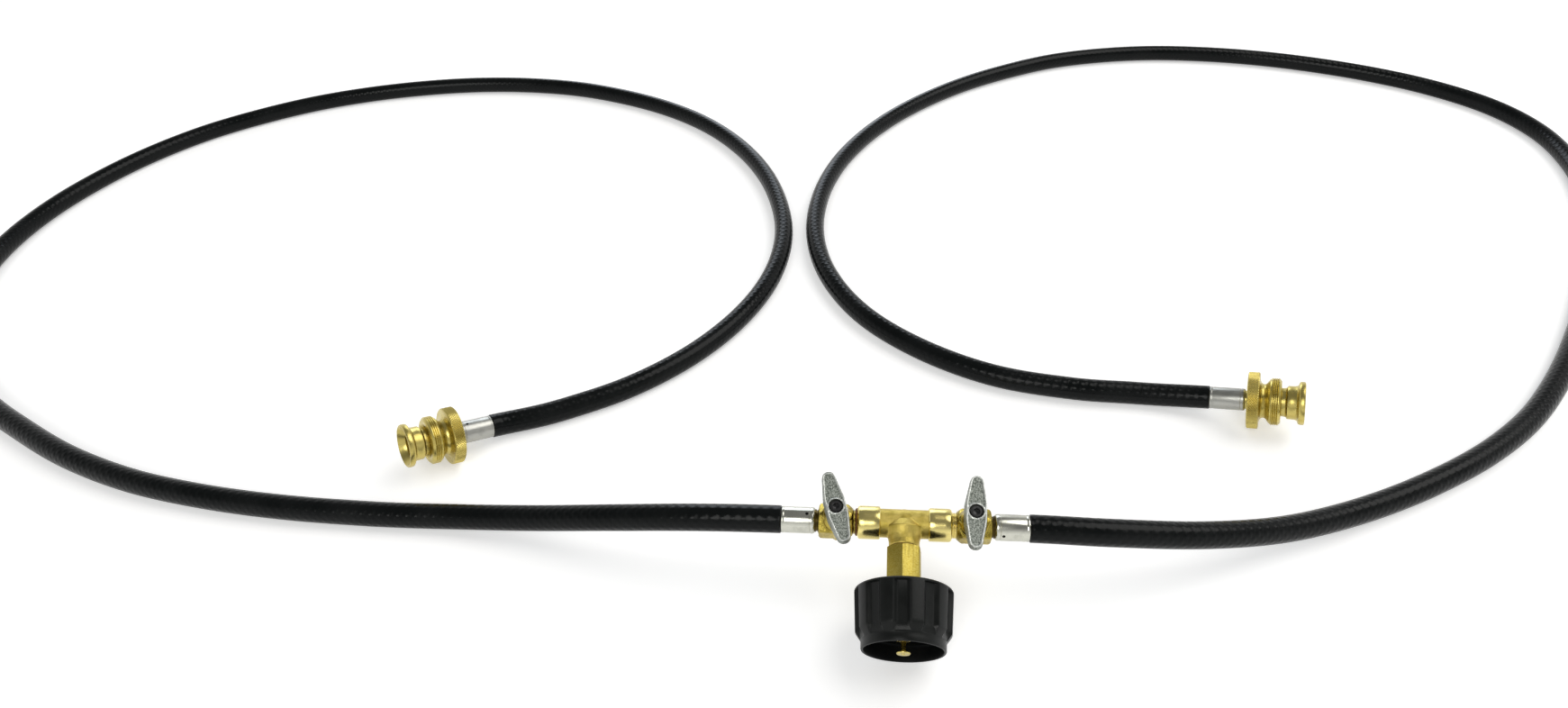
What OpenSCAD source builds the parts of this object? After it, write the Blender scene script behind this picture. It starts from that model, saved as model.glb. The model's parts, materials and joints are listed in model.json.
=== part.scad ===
// Two-outlet gas hose: a hand-tightened tank nut, a tee with two ball valves, and two hoses
// that each end in a swivelling 1"-20 outlet. Millimetres, +Z up, floor at z = 0.
// The run of the tee lies along X, and the tank nut points along -Y and a little down.

/* [Tank nut] */
// Outside diameter of the nut at its back rim
nut_back_d = 43.4; // [42.8:0.2:45]
// Outside diameter of the nut where its front chamfer starts
nut_front_d = 41.6; // [41:0.2:42.4]
// Outside diameter of the skirt round the nut's mouth
nut_skirt_d = 36.6; // [36:0.2:38]
// Bore of the nut at the roots of its tank thread
nut_bore_d = 33.8; // [33.4:0.1:34.2]
// Length of the nut from its back face to its mouth
nut_length = 26.4; // [26:0.2:30]
// Number of finger flutes round the nut
flute_count = 10; // [8:1:11]
// Width of one finger flute at the nut's surface
flute_width = 7.5; // [5:0.1:8]
// Depth of one finger flute
flute_depth = 1.65; // [1:0.05:1.8]
// Turn of the flutes round the nut, in degrees
flute_turn = 4; // [0:1:18]
// Tilt of the nut's mouth towards the floor, in degrees
tank_tilt = 19; // [17:0.5:21]

/* [Tee and adapter] */
// Half of the tee's length along its run
tee_half = 21.3; // [20:0.1:23]
// Diameter of the tee's cast middle
tee_cast_d = 12.9; // [12.6:0.1:14]
// Diameter of the machined bands at the tee's ends
tee_band_d = 15; // [14.6:0.1:16]
// Length of one machined band
tee_band_length = 10.4; // [9:0.1:11]
// Diameter of the tee's branch
tee_branch_d = 13.7; // [13.4:0.1:14.4]
// Distance from the tee's centre to the end of its branch
tee_branch_reach = 11.5; // [11:0.1:12]
// Width of the adapter across two flats
hex_flats = 14.5; // [13.6:0.1:15]
// Outside diameter of the pipe threads
pipe_thread_d = 10; // [9.8:0.1:10.2]

/* [Valves and levers] */
// Distance from the tee's centre to a valve's stem
stem_x = 30.6; // [30.6:0.1:33]
// Width of a valve's end collars across two flats
valve_flats = 14; // [13.6:0.1:14.6]
// Diameter of the ball
ball_d = 10; // [9.8:0.1:10]
// Diameter of the port through the ball
ball_port_d = 4.4; // [3.5:0.1:5]
// Length of a lever
lever_length = 33.4; // [28:0.2:40]
// Width of a lever's face at its middle
lever_width = 9; // [8.6:0.1:10]
// Width of a lever's face near its ends
lever_end_width = 5.8; // [5:0.1:7]
// Thickness of a lever at its middle
lever_thickness = 6; // [5.8:0.1:7]
// Thickness of a lever at its ends
lever_end_thickness = 3.2; // [2.5:0.1:5]
// Angle of the left lever from shut, in degrees
left_lever_angle = 16; // [0:1:90]
// Angle of the right lever from shut, in degrees
right_lever_angle = 3; // [0:1:90]

/* [Hoses and ferrules] */
// Outside diameter of a hose
hose_d = 12.7; // [12:0.1:13]
// Outside diameter of the crimped ferrules
ferrule_d = 12; // [11.8:0.1:12.4]
// Wall of a ferrule
ferrule_wall = 0.5; // [0.4:0.1:0.7]
// Length of a ferrule at a valve
inlet_ferrule_length = 15.2; // [13:0.2:16]
// Length of a ferrule at an outlet
outlet_ferrule_length = 17.6; // [16:0.2:20]
// Outside diameter of the hose barbs
barb_d = 6.6; // [6.2:0.1:7]
// Bore of the gas way through the barbs
gas_way_d = 4; // [3:0.1:4.4]

/* [Outlets] */
// Outside diameter of the outlet's thread
thread_d = 25.4; // [25:0.1:26]
// Outside diameter of the knurled flange
flange_d = 30.6; // [29:0.2:31]
// Width of the knurled flange
flange_width = 6; // [5.6:0.2:6.4]
// Diameter of the waist between the flange and the thread
waist_d = 18.2; // [18:0.1:20]
// Diameter of the lip round the outlet's seat
lip_d = 23; // [22.2:0.1:23.4]
// Bore of the seat inside the lip
seat_d = 16; // [14:0.1:16.4]

/* [Hidden] */

LEFT = -1;
RIGHT = 1;

run_fit = 0.06;       // radial clearance of a turning or sliding fit
free_gap = 0.3;       // clearance between pieces that only pass each other
cut = 1;              // how far a cutting shape runs past the face that it cuts
smooth = 96;          // facets of a large circle
fine = 48;            // facets of a small circle

brass = [0.78, 0.62, 0.28];
forged_brass = [0.68, 0.53, 0.23];
steel_grey = [0.72, 0.73, 0.72];
zinc_grey = [0.66, 0.68, 0.66];
rubber_black = [0.07, 0.07, 0.075];
plastic_black = [0.05, 0.05, 0.055];
screw_black = [0.12, 0.12, 0.12];
seat_white = [0.92, 0.92, 0.9];
bushing_black = [0.1, 0.1, 0.1];

// Stations along the branch, measured from the tee's centre towards the tank.
thread_grip = 8;                          // length of a pipe thread inside its hole
hex_start = tee_branch_reach + 0.1;
hex_end = 28.3;
nut_back = 31;
nut_wall = 3;                             // thickness of the nut's back wall
back_rim = 1.4;                           // plain rim behind the flutes
nut_mouth = nut_back + nut_length;
nut_shoulder = nut_mouth - 7.4;           // where the front chamfer starts
nut_skirt = nut_shoulder + 3.2;           // where the chamfer meets the skirt
nozzle_flange = nut_back + nut_wall + 1.7;
nozzle_flange_width = 2;
nozzle_face = nut_mouth - 5;
nose_length = 7.5;                        // length of the nozzle's tapered nose
nose_tip_r = 4.6;
probe_head = nut_mouth + 0.4;             // back of the probe's rim
probe_head_r = 3.05;
probe_rim = 0.6;                          // thickness of the probe's rim
probe_tip_r = 0.8;
guide_width = 3;
poppet_width = 2;
poppet_back = nozzle_face - guide_width - 0.1 - poppet_width;
spring_length = 5.4;
chamber_floor = poppet_back - spring_length;
hex_bore_depth = 10;
hex_turn = 37;                            // how far the hexagon was screwed round, in degrees
adapter_bore_r = 2.5;

nut_bushing_r = 7;
shank_r = pipe_thread_d / 2 + 0.1;
nozzle_r = 6.4;
nozzle_bore_r = 2.2;
chamber_r = 3.4;                          // spring chamber inside the nozzle
probe_r = 1.15;
poppet_r = 3;
probe_tail_r = 1.1;
probe_tail = 6;                           // length of the probe's tail inside the spring

// The nut's shoulder rests on the floor, which sets how high the tee stands.
tee_y = 24.6;
tee_z = nut_shoulder * sin(tank_tilt) + nut_front_d / 2 * cos(tank_tilt);

// Stations of a valve along the run, measured outwards from its stem.
valve_in = -7.4;
valve_out = 8.1;
valve_neck_r = 5.3;
valve_cone = 3;                           // length of the cone on the tee's side
chamber_in = -6.2;
chamber_r_valve = 5.25;
seat_width = 3.1;
valve_bore_r = 3.4;
boss_top = 12.2;
stem_r = 2;
stem_shoulder_r = 2.9;
stem_pocket_floor = 3;
stem_pocket_top = 6.6;                    // where the stem's shoulder is stopped
stem_hole_r = 1.25;                       // hole for the lever's screw
seal_low = 8.2;
seal_high = 9.5;
seal_r = 3.15;
stem_square = 3.2;
slot_floor = 3.4;                         // slot in the ball that the stem's tongue turns
slot_width = 1.7;
square_height = 2.2;
lever_base = boss_top + 0.4;
lever_top = lever_base + lever_thickness;
lever_draft = 0.55;                       // how much wider the lever's underside is, each side
lever_web = 1.6;                          // metal under the screw's head
screw_recess = 2.4;
screw_head_r = 2.75;
screw_head_height = 2.1;
stop_r = 0.75;
stop_radius = 3.6;                        // distance of the stop lug from the stem's axis
stop_height = 1.2;
lever_swing = 90;
tail_neck = 1.6;                          // bare length between the valve and the ferrule
ferrule_in = valve_out + tail_neck + 0.1;
ferrule_out = ferrule_in + inlet_ferrule_length;
hose_start_x = stem_x + ferrule_out;

// Stations of an outlet along its axis, measured from the middle of the knurled flange.
flange_back = -flange_width / 2;
flange_front = flange_width / 2;
outlet_ferrule_front = flange_back - 1;
outlet_ferrule_back = outlet_ferrule_front - outlet_ferrule_length;
waist_front = flange_front + 4;
ring_front = waist_front + 6.6;
cup_back = ring_front + 2.8;
lip_front = cup_back + 8.6;
seat_floor = cup_back + 0.6;
journal_r = 5;
collar_shoulder = flange_front - 1;       // inner shoulder that the nozzle bears on
nozzle_neck_r = 7.6;
cup_r = 8.9;

// Where each outlet's flange rests, as [x, y, heading, nose-up angle].
left_outlet = [-240, 91.5, 220, 15];
right_outlet = [189, 137.5, -18, 12.5];
flange_round = 1;                         // rounding of the flange's edges

// Middle lines of the hoses from valve to outlet. The two end points come from the fittings.
left_route = [
    [-95, 25.5, 34], [-137, 31, 25], [-180, 38, 14], [-222, 42, 8],
    [-266, 43, 6.4], [-312, 45, 6.4], [-358, 50, 6.4], [-404, 59, 6.4], [-449, 74, 6.4],
    [-491, 94, 6.4], [-532, 117, 6.4], [-570, 147, 6.4], [-600, 184, 6.4], [-621, 227, 6.4],
    [-632, 272, 6.4], [-632, 318, 6.4], [-622, 363, 6.4], [-604, 405, 6.4], [-578, 443, 6.4],
    [-545, 474, 6.4], [-507, 500, 6.4], [-465, 519, 6.4], [-420, 532, 6.4], [-374, 539, 6.4],
    [-327, 539, 6.4], [-281, 532, 6.4], [-237, 517, 6.4], [-196, 496, 6.4], [-159, 468, 6.4],
    [-128, 433, 6.4], [-104, 393, 6.4], [-88, 350, 6.4], [-80, 305, 6.4], [-83, 259, 6.4],
    [-97, 216, 6.4], [-122, 176, 6.4], [-155, 144, 6.4], [-193, 121, 6.6]
];
right_route = [
    [95, 25.5, 34], [138, 34, 25], [181, 49, 14], [222, 67, 8],
    [262, 87, 6.4], [300, 110, 6.4], [335, 138, 6.4], [366, 172, 6.4], [394, 209, 6.4],
    [420, 248, 6.4], [444, 289, 6.4], [466, 331, 6.4], [484, 375, 6.4], [495, 421, 6.4],
    [495, 467, 6.4], [479, 509, 6.4], [447, 544, 6.4], [408, 570, 6.4], [364, 590, 6.4],
    [319, 604, 6.4], [273, 612, 6.4], [227, 614, 6.4], [181, 608, 6.4], [137, 595, 6.4],
    [95, 573, 6.4], [57, 547, 6.4], [22, 515, 6.4], [-8, 479, 6.4], [-32, 439, 6.4],
    [-49, 396, 6.4], [-58, 350, 6.4], [-58, 304, 6.4], [-47, 259, 6.4], [-24, 218, 6.4],
    [10, 186, 6.4], [52, 163, 6.4], [97, 153, 6.4], [138, 150, 6.6]
];
hose_sides = 10;

// ---- Placing ----

// The tee's own frame: run along X, tank along -Y, lever side up.
module at_tee() translate([0, tee_y, tee_z]) rotate([tank_tilt, 0, 0]) children();

// +Z of the children points along the branch towards the tank.
module along_branch(station = 0) at_tee() rotate([90, 0, 0]) translate([0, 0, station]) children();

// A valve's frame: the stem at the origin pointing up, the hose along +X. The left valve is mirrored.
module at_valve(side) at_tee() mirror([side < 0 ? 1 : 0, 0, 0]) translate([stem_x, 0, 0]) children();

// +Z of the children points along the run towards the hose, from a station beside the stem.
module along_valve(side, station = 0) at_valve(side) translate([station, 0, 0]) rotate([0, 90, 0]) children();

// The stem's frame turned with the lever. A shut lever lies across the run, and an open one along it.
module at_lever(side, angle) at_valve(side) rotate([0, 0, -angle]) children();

// An outlet's frame: +Z along its axis towards the mouth, origin in the flange's middle.
module at_outlet(outlet) translate(outlet_centre(outlet)) rotate([0, 90 - outlet[3], outlet[2]]) children();

// The front of an outlet's ferrule, with +Z back along the hose.
module at_hose_end(outlet) at_outlet(outlet) translate([0, 0, outlet_ferrule_front]) rotate([180, 0, 0]) children();

function outlet_axis(outlet) = [
    cos(outlet[2]) * cos(outlet[3]),
    sin(outlet[2]) * cos(outlet[3]),
    sin(outlet[3])
];

// The flange's rounded back edge touches the floor.
function outlet_height(outlet) =
    (flange_d / 2 - flange_round) * cos(outlet[3])
    + (flange_width / 2 - flange_round) * sin(outlet[3]) + flange_round;
function outlet_centre(outlet) = [outlet[0], outlet[1], outlet_height(outlet)];
function hose_end(outlet) = outlet_centre(outlet) + outlet_axis(outlet) * outlet_ferrule_back;

// ---- Shared shapes ----

module tube(outer_r, inner_r, length) difference() {
    cylinder(r = outer_r, h = length, $fn = smooth);
    translate([0, 0, -cut]) cylinder(r = inner_r, h = length + 2 * cut, $fn = smooth);
}

module disc(r, from, to) translate([0, 0, from]) cylinder(r = r, h = to - from, $fn = smooth);

module hex_bar(flats, from, to) translate([0, 0, from])
    cylinder(r = flats / sqrt(3), h = to - from, $fn = 6);

// Turned blank with a bevel at both ends, used to round the corners of a hexagon.
module bevelled_blank(r, from, to, bevel) rotate_extrude($fn = smooth) polygon([
    [0, from], [r - bevel, from], [r, from + bevel / 2],
    [r, to - bevel / 2], [r - bevel, to], [0, to]
]);

// A barb with saw-toothed rings, from its root to its tip.
module barb(root, tip) {
    tooth = 2.4;
    teeth = floor((tip - root - 1) / tooth);
    disc(barb_d / 2 - 0.5, root, tip);
    for (i = [0 : teeth - 1]) translate([0, 0, root + i * tooth])
        cylinder(r1 = barb_d / 2, r2 = barb_d / 2 - 0.5, h = tooth, $fn = fine);
}

// ---- Tank side ----

module tee_body() color(forged_brass) at_tee() difference() {
    union() {
        rotate([0, 90, 0]) disc(tee_cast_d / 2, -tee_half + cut, tee_half - cut);
        for (side = [LEFT, RIGHT]) rotate([0, side * 90, 0]) tee_band();
        rotate([90, 0, 0]) {
            cylinder(r = tee_branch_d / 2, h = tee_branch_reach, $fn = smooth);
            translate([0, 0, 4.6])
                cylinder(r1 = tee_branch_d / 2 + 1.5, r2 = tee_branch_d / 2, h = 4, $fn = smooth);
        }
        sphere(r = tee_branch_d / 2 + 0.2, $fn = smooth);
    }
    rotate([0, 90, 0]) translate([0, 0, -tee_half - cut])
        cylinder(r = 3.6, h = 2 * (tee_half + cut), $fn = fine);
    for (side = [LEFT, RIGHT]) rotate([0, side * 90, 0])
        disc(pipe_thread_d / 2, tee_half - thread_grip, tee_half + cut);
    rotate([90, 0, 0]) disc(pipe_thread_d / 2, tee_branch_reach - thread_grip, tee_branch_reach + cut);
}

module tee_band() {
    r = tee_band_d / 2;
    inner = tee_half - tee_band_length;
    rotate_extrude($fn = smooth) polygon([
        [0, inner], [r - 0.5, inner], [r, inner + 0.7],
        [r, tee_half - 1.2], [r - 0.4, tee_half - 0.5], [r - 1.2, tee_half], [0, tee_half]
    ]);
}

module hex_adapter() color(brass) along_branch() difference() {
    union() {
        disc(pipe_thread_d / 2, tee_branch_reach - thread_grip + 0.1, hex_start + cut);
        intersection() {
            rotate([0, 0, hex_turn]) hex_bar(hex_flats, hex_start, hex_end);
            bevelled_blank(hex_flats / sqrt(3) + 0.4, hex_start, hex_end, 1.6);
        }
    }
    disc(adapter_bore_r, 0, hex_end + cut);
    disc(shank_r, hex_end - hex_bore_depth, hex_end + cut);
}

module tank_nozzle() color(brass) along_branch() difference() {
    union() {
        disc(shank_r, hex_end - hex_bore_depth + 0.2, nozzle_flange + cut);
        disc(9, nozzle_flange, nozzle_flange + nozzle_flange_width);
        disc(nozzle_r, nozzle_flange + cut, nozzle_face - nose_length);
        translate([0, 0, nozzle_face - nose_length])
            cylinder(r1 = nozzle_r, r2 = nose_tip_r, h = nose_length, $fn = smooth);
    }
    disc(nozzle_bore_r, 0, nozzle_face);
    disc(chamber_r, chamber_floor, nozzle_face + cut);
}

module thermal_bushing() color(bushing_black) along_branch() difference() {
    union() {
        disc(nut_bushing_r, hex_end + 0.1, nozzle_flange - 0.1);
        disc(10, nut_back + nut_wall + free_gap, nozzle_flange - 0.1);
    }
    disc(shank_r, 0, nozzle_flange + cut);
}

module coupling_nut() color(plastic_black) along_branch() difference() {
    rotate_extrude($fn = smooth) nut_section();
    for (i = [0 : flute_count - 1]) rotate([0, 0, i * 360 / flute_count + flute_turn]) nut_flute();
}

// Half section of the nut, with the crests of its tank thread as plain rings.
module nut_section() {
    back_r = nut_back_d / 2;
    front_r = nut_front_d / 2;
    skirt_r = nut_skirt_d / 2;
    bore_r = nut_bore_d / 2;
    crest_r = bore_r - 1.1;
    cavity = nut_back + nut_wall;
    pitch = 4.2;
    first_crest = cavity + 5;
    crests = [for (i = [0 : 3]) for (p = [[bore_r, 0], [crest_r, 0.7], [crest_r, 1.7], [bore_r, 2.4]])
        [p[0], first_crest + i * pitch + p[1]]];
    polygon(concat(
        [[nut_bushing_r + run_fit, nut_back], [back_r - 1.2, nut_back], [back_r, nut_back + 1.2],
         [front_r, nut_shoulder], [skirt_r + 0.2, nut_skirt], [skirt_r, nut_mouth - 0.4],
         [skirt_r - 0.4, nut_mouth], [bore_r + 0.5, nut_mouth], [bore_r, nut_mouth - 1.2]],
        [for (i = [len(crests) - 1 : -1 : 0]) crests[i]],
        [[bore_r, cavity], [nut_bushing_r + run_fit, cavity]]
    ));
}

// Cutter of one flute: a flat floor between leaning sides, shut off by a plain rim at the back.
// The floor follows the nut's taper, then bends down and comes to nothing where the skirt starts.
module nut_flute() {
    back_floor = nut_back_d / 2 - flute_depth;
    front_floor = nut_front_d / 2 - flute_depth;
    skirt_floor = nut_skirt_d / 2 + 0.1;
    bend = nut_shoulder + 1;
    lap = 0.5;
    flute_run(back_floor, nut_back + back_rim, front_floor, bend, 0, lap);
    flute_run(front_floor, bend, skirt_floor, nut_skirt, lap, lap);
}

// Straight run of the flute's cutter between two floor points, with a little extra at each end.
module flute_run(from_r, from_z, to_r, to_z, before, after) {
    half = flute_width / 2 - flute_depth;
    lean = 4;
    slope = atan((from_r - to_r) / (to_z - from_z));
    translate([0, from_r, from_z]) rotate([slope, 0, 0]) translate([0, 0, -before])
        linear_extrude(norm([from_r - to_r, to_z - from_z]) + before + after) polygon([
            [-half, 0], [half, 0], [half + lean, lean], [-half - lean, lean]
        ]);
}

module probe_pin() color(brass) along_branch() {
    disc(probe_tail_r, chamber_floor - probe_tail, poppet_back + cut);
    disc(poppet_r, poppet_back, poppet_back + poppet_width);
    disc(probe_r, poppet_back + cut, probe_head);
    rotate_extrude($fn = fine) polygon([
        [0, probe_head - 0.8], [probe_r, probe_head - 0.8], [probe_head_r - 0.15, probe_head - 0.05],
        [probe_head_r, probe_head + 0.15], [probe_head_r - 0.25, probe_head + probe_rim],
        [probe_tip_r, probe_head + probe_rim + 0.05], [probe_tip_r - 0.2, probe_head + probe_rim + 0.4],
        [0, probe_head + probe_rim + 0.4]
    ]);
}

// Spring behind the poppet, drawn as a stack of touching wire rings.
module probe_spring() color(steel_grey) along_branch() {
    wire = 0.5;
    rings = 6;
    pitch = (poppet_back - chamber_floor) / rings;
    rotate_extrude($fn = fine) polygon(concat(
        [[1.7, chamber_floor]],
        [for (i = [0 : rings - 1]) for (p = [[2.5, 0.02], [3, pitch / 2], [2.5, pitch - 0.02]])
            [p[0], chamber_floor + i * pitch + p[1]]],
        [[1.7, poppet_back]],
        [for (i = [rings - 1 : -1 : 1]) [1.7 + wire / 2, chamber_floor + i * pitch]]
    ));
}

module probe_guide() color(brass) along_branch(nozzle_face - guide_width) difference() {
    tube(chamber_r, probe_r + run_fit, guide_width);
    for (i = [0 : 3]) rotate([0, 0, 45 + 90 * i]) translate([2.4, 0, -cut])
        cylinder(r = 0.6, h = guide_width + 2 * cut, $fn = 24);
}

// ---- Valves ----

module valve_body(side) color(forged_brass) at_valve(side) difference() {
    union() {
        rotate([0, 90, 0]) valve_barrel();
        valve_boss();
        translate([0, -stop_radius, boss_top - 0.2]) cylinder(r = stop_r, h = stop_height + 0.2, $fn = fine);
    }
    rotate([0, 90, 0]) {
        disc(valve_bore_r, -stem_x, 0);
        disc(chamber_r_valve, chamber_in, valve_out + cut);
    }
    disc(stem_shoulder_r + free_gap, stem_pocket_floor, stem_pocket_top);
    disc(stem_r + run_fit, stem_pocket_floor, boss_top + cut);
    disc(seal_r, seal_low, seal_high);
}

// Thread, neck and hexagonal barrel, coned at the tee's end and rounded at the hose's end.
module valve_barrel() {
    corner_r = valve_flats / sqrt(3);
    neck_start = tee_half - thread_grip - stem_x;
    disc(pipe_thread_d / 2, neck_start + 0.1, valve_in);
    disc(valve_neck_r, tee_half - stem_x + 0.1, valve_in + cut);
    intersection() {
        hex_bar(valve_flats, valve_in, valve_out);
        rotate_extrude($fn = smooth) polygon([
            [0, valve_in], [valve_neck_r + 0.5, valve_in], [corner_r + 0.4, valve_in + valve_cone],
            [corner_r + 0.4, valve_out - 1.6], [corner_r - 0.5, valve_out - 0.4], [corner_r - 1.3, valve_out],
            [0, valve_out]
        ]);
    }
}

// Stem boss that grows out of a square block set cornerwise to the run.
module valve_boss() {
    block = 11.4;
    block_top = 8.4;
    cone_r = 6.8;
    boss_r = 4.7;
    cylinder(r = boss_r, h = boss_top, $fn = smooth);
    translate([0, 0, 6]) cylinder(r1 = cone_r, r2 = boss_r, h = 4.4, $fn = smooth);
    intersection() {
        rotate([0, 0, 45]) translate([-block / 2, -block / 2, -7]) cube([block, block, block_top + 7]);
        rotate([0, 90, 0]) disc(8.6, valve_in + 0.5, valve_out - 0.5);
    }
}

module ball(side, angle) color(steel_grey) at_lever(side, angle) difference() {
    sphere(r = ball_d / 2, $fn = smooth);
    rotate([90, 0, 0]) disc(ball_port_d / 2, -ball_d, ball_d);
    translate([-slot_width / 2, -ball_d / 2, slot_floor]) cube([slot_width, ball_d, ball_d / 2]);
}

module ball_seats(side) color(seat_white) for (way = [-1, 1]) along_valve(side) rotate([0, way < 0 ? 180 : 0, 0])
    translate([0, 0, -chamber_in - seat_width]) difference() {
        tube(chamber_r_valve - 0.05, 2.6, seat_width);
        translate([0, 0, chamber_in + seat_width]) sphere(r = ball_d / 2 + run_fit, $fn = smooth);
    }

module stem(side, angle) color(brass) at_lever(side, angle) difference() {
    tongue = slot_width - 0.1;
    tongue_half = stem_shoulder_r - 0.3;
    shoulder_low = 5.4;
    union() {
        intersection() {
            translate([-tongue / 2, -tongue_half, slot_floor + 0.1]) cube([tongue, 2 * tongue_half, 2.2]);
            sphere(r = ball_d / 2 + 0.6, $fn = smooth);
        }
        disc(stem_shoulder_r, shoulder_low, stem_pocket_top - 0.1);
        disc(stem_r, stem_pocket_top - 0.2, boss_top + 0.4);
        translate([0, 0, boss_top]) intersection() {
            translate([-stem_square / 2, -stem_square / 2, 0]) cube([stem_square, stem_square, square_height]);
            cylinder(r = stem_r, h = square_height, $fn = smooth);
        }
    }
    disc(stem_hole_r, seal_low + 0.8, boss_top + square_height + cut);
}

module stem_seal(side) color(rubber_black) at_valve(side) translate([0, 0, seal_low + 0.1])
    tube(seal_r - 0.05, stem_r + 0.03, seal_high - seal_low - 0.2);

// Boat-shaped grip with sloping sides and thinner ends, a square socket below and a screw seat above.
module lever(side, angle) color(zinc_grey) at_lever(side, angle) difference() {
    hull() for (way = [-1, 1]) {
        lever_corner(way * (lever_length - lever_end_width) / 2, lever_end_width / 2, lever_end_thickness);
        lever_corner(way * 3.8, lever_width / 2, lever_thickness);
    }
    disc(1.5, lever_base - cut, lever_top + cut);
    disc(screw_head_r + 0.5, lever_top - screw_recess, lever_top + cut);
    socket = stem_square + 0.1;
    socket_top = lever_top - screw_recess - lever_web;
    intersection() {
        translate([-socket / 2, -socket / 2, lever_base - cut])
            cube([socket, socket, socket_top - lever_base + cut]);
        disc(stem_r + 0.05, lever_base - cut, socket_top);
    }
    lever_stop_slot();
}

module lever_corner(y, r, thickness) translate([0, y, lever_top - thickness])
    cylinder(r1 = r + lever_draft * thickness / lever_thickness, r2 = r, h = thickness, $fn = 32);

// Curved slot under the lever that holds the stop lug while the lever swings from shut to open.
module lever_stop_slot() {
    lug_half = asin(stop_r / stop_radius);
    play = 5;
    span = lever_swing + 2 * (lug_half + play);
    middle = -90 + lever_swing / 2;
    rotate([0, 0, middle - span / 2]) translate([0, 0, lever_base - cut])
        rotate_extrude(angle = span, $fn = smooth)
            translate([stop_radius - stop_r - free_gap, 0]) square([2 * (stop_r + free_gap), cut + stop_height]);
}

module lever_screw(side, angle) color(screw_black) at_lever(side, angle) difference() {
    seat = lever_top - screw_recess;
    union() {
        disc(stem_hole_r - 0.05, seal_low + 1.2, seat + 0.2);
        screw_head(screw_head_r, seat, seat + screw_head_height, 0.35);
    }
    translate([0, 0, seat + 0.7]) cylinder(r = 2.5 / sqrt(3), h = 3, $fn = 6);
}

module screw_head(r, from, to, bevel) rotate_extrude($fn = fine) polygon([
    [0, from], [r, from], [r, to - bevel], [r - bevel, to], [0, to]
]);

// Screwed plug that closes the valve's chamber and carries the hose barb.
module tailpiece(side) color(brass) along_valve(side) difference() {
    union() {
        disc(chamber_r_valve - 0.02, -chamber_in + 0.05, valve_out + tail_neck);
        disc(barb_d / 2, valve_out, ferrule_in + 1.2);
        barb(ferrule_in + 1.2, ferrule_out - 1);
    }
    disc(gas_way_d / 2, 0, ferrule_out);
}

// Crimped sleeve, open towards the hose and turned in at its other end.
module ferrule(length) color(steel_grey) difference() {
    rotate_extrude($fn = smooth) polygon([
        [barb_d / 2 + 0.1, 0], [ferrule_d / 2 - 0.7, 0], [ferrule_d / 2, 0.7],
        [ferrule_d / 2, length - 0.4], [ferrule_d / 2 - 0.2, length],
        [ferrule_d / 2 - ferrule_wall, length], [ferrule_d / 2 - ferrule_wall, 0.7], [barb_d / 2 + 0.1, 0.7]
    ]);
}

// End of the hose inside its ferrule, squeezed over the barb.
module hose_tail(length) color(rubber_black) translate([0, 0, 0.8])
    tube(ferrule_d / 2 - ferrule_wall, barb_d / 2, length - 0.8);

// ---- Outlets ----

// Nozzle from its barb to the flared lip round the seat.
module outlet_nozzle(outlet) color(brass) at_outlet(outlet) difference() {
    seat_r = seat_d / 2;
    lip_r = lip_d / 2;
    union() {
        barb(outlet_ferrule_back + 1, outlet_ferrule_front - 1.2);
        disc(barb_d / 2, outlet_ferrule_front - 1.3, flange_back);
        disc(journal_r, outlet_ferrule_front + 0.1, collar_shoulder + 1);
        rotate_extrude($fn = smooth) polygon([
            [0, collar_shoulder + 0.05], [nozzle_neck_r, collar_shoulder + 0.05], [nozzle_neck_r, cup_back],
            [cup_r - 0.4, cup_back], [cup_r, cup_back + 0.5], [cup_r, lip_front - 4.6],
            [cup_r + 0.5, lip_front - 3.8],
            [lip_r - 0.5, lip_front - 3], [lip_r, lip_front - 2.6], [lip_r, lip_front - 0.7],
            [lip_r - 0.5, lip_front], [0, lip_front]
        ]);
    }
    disc(gas_way_d / 2, outlet_ferrule_back, lip_front);
    translate([0, 0, seat_floor - 2.5]) cylinder(r1 = gas_way_d / 2, r2 = 4.5, h = 2.51, $fn = smooth);
    disc(seat_r, seat_floor, lip_front - 3);
    translate([0, 0, lip_front - 3.01]) cylinder(r1 = seat_r, r2 = lip_r - 1, h = 3.01, $fn = smooth);
    disc(lip_r - 1, lip_front, lip_front + cut);
}

// Knurled flange, waist and threaded ring in one piece that turns on the nozzle.
module swivel_collar(outlet) color(brass) at_outlet(outlet) difference() {
    flange_r = flange_d / 2;
    waist_r = waist_d / 2;
    thread_r = thread_d / 2;
    bore_r = nozzle_neck_r + free_gap;
    rotate_extrude($fn = smooth) polygon(concat(
        [[journal_r + run_fit, flange_back]],
        arc(flange_r - flange_round, flange_back + flange_round, flange_round, -90, 0),
        arc(flange_r - flange_round, flange_front - flange_round, flange_round, 0, 60),
        [[waist_r + 1.5, flange_front + 0.4], [waist_r + 0.4, flange_front + 1.1], [waist_r, flange_front + 2.1],
         [waist_r + 0.4, flange_front + 3.1], [waist_r + 1.4, waist_front], [thread_r, waist_front + 1.6],
         [thread_r, ring_front - 1], [thread_r - 1.6, ring_front], [bore_r + 1.6, ring_front],
         [bore_r, ring_front - 1.6], [bore_r, collar_shoulder], [journal_r + run_fit, collar_shoulder]]
    ));
    knurl();
}

// Straight knurl: shallow grooves round the flange's rim.
module knurl() {
    teeth = 36;
    for (i = [0 : teeth - 1]) rotate([0, 0, i * 360 / teeth])
        translate([flange_d / 2 + 0.4, 0, flange_back - cut]) rotate([0, 0, 45])
            translate([-0.5, -0.5, 0]) cube([1, 1, flange_width + 2 * cut]);
}

function arc(x, y, r, from, to, steps = 6) =
    [for (i = [0 : steps]) let (a = from + (to - from) * i / steps) [x + r * cos(a), y + r * sin(a)]];

// ---- Hoses ----

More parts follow.
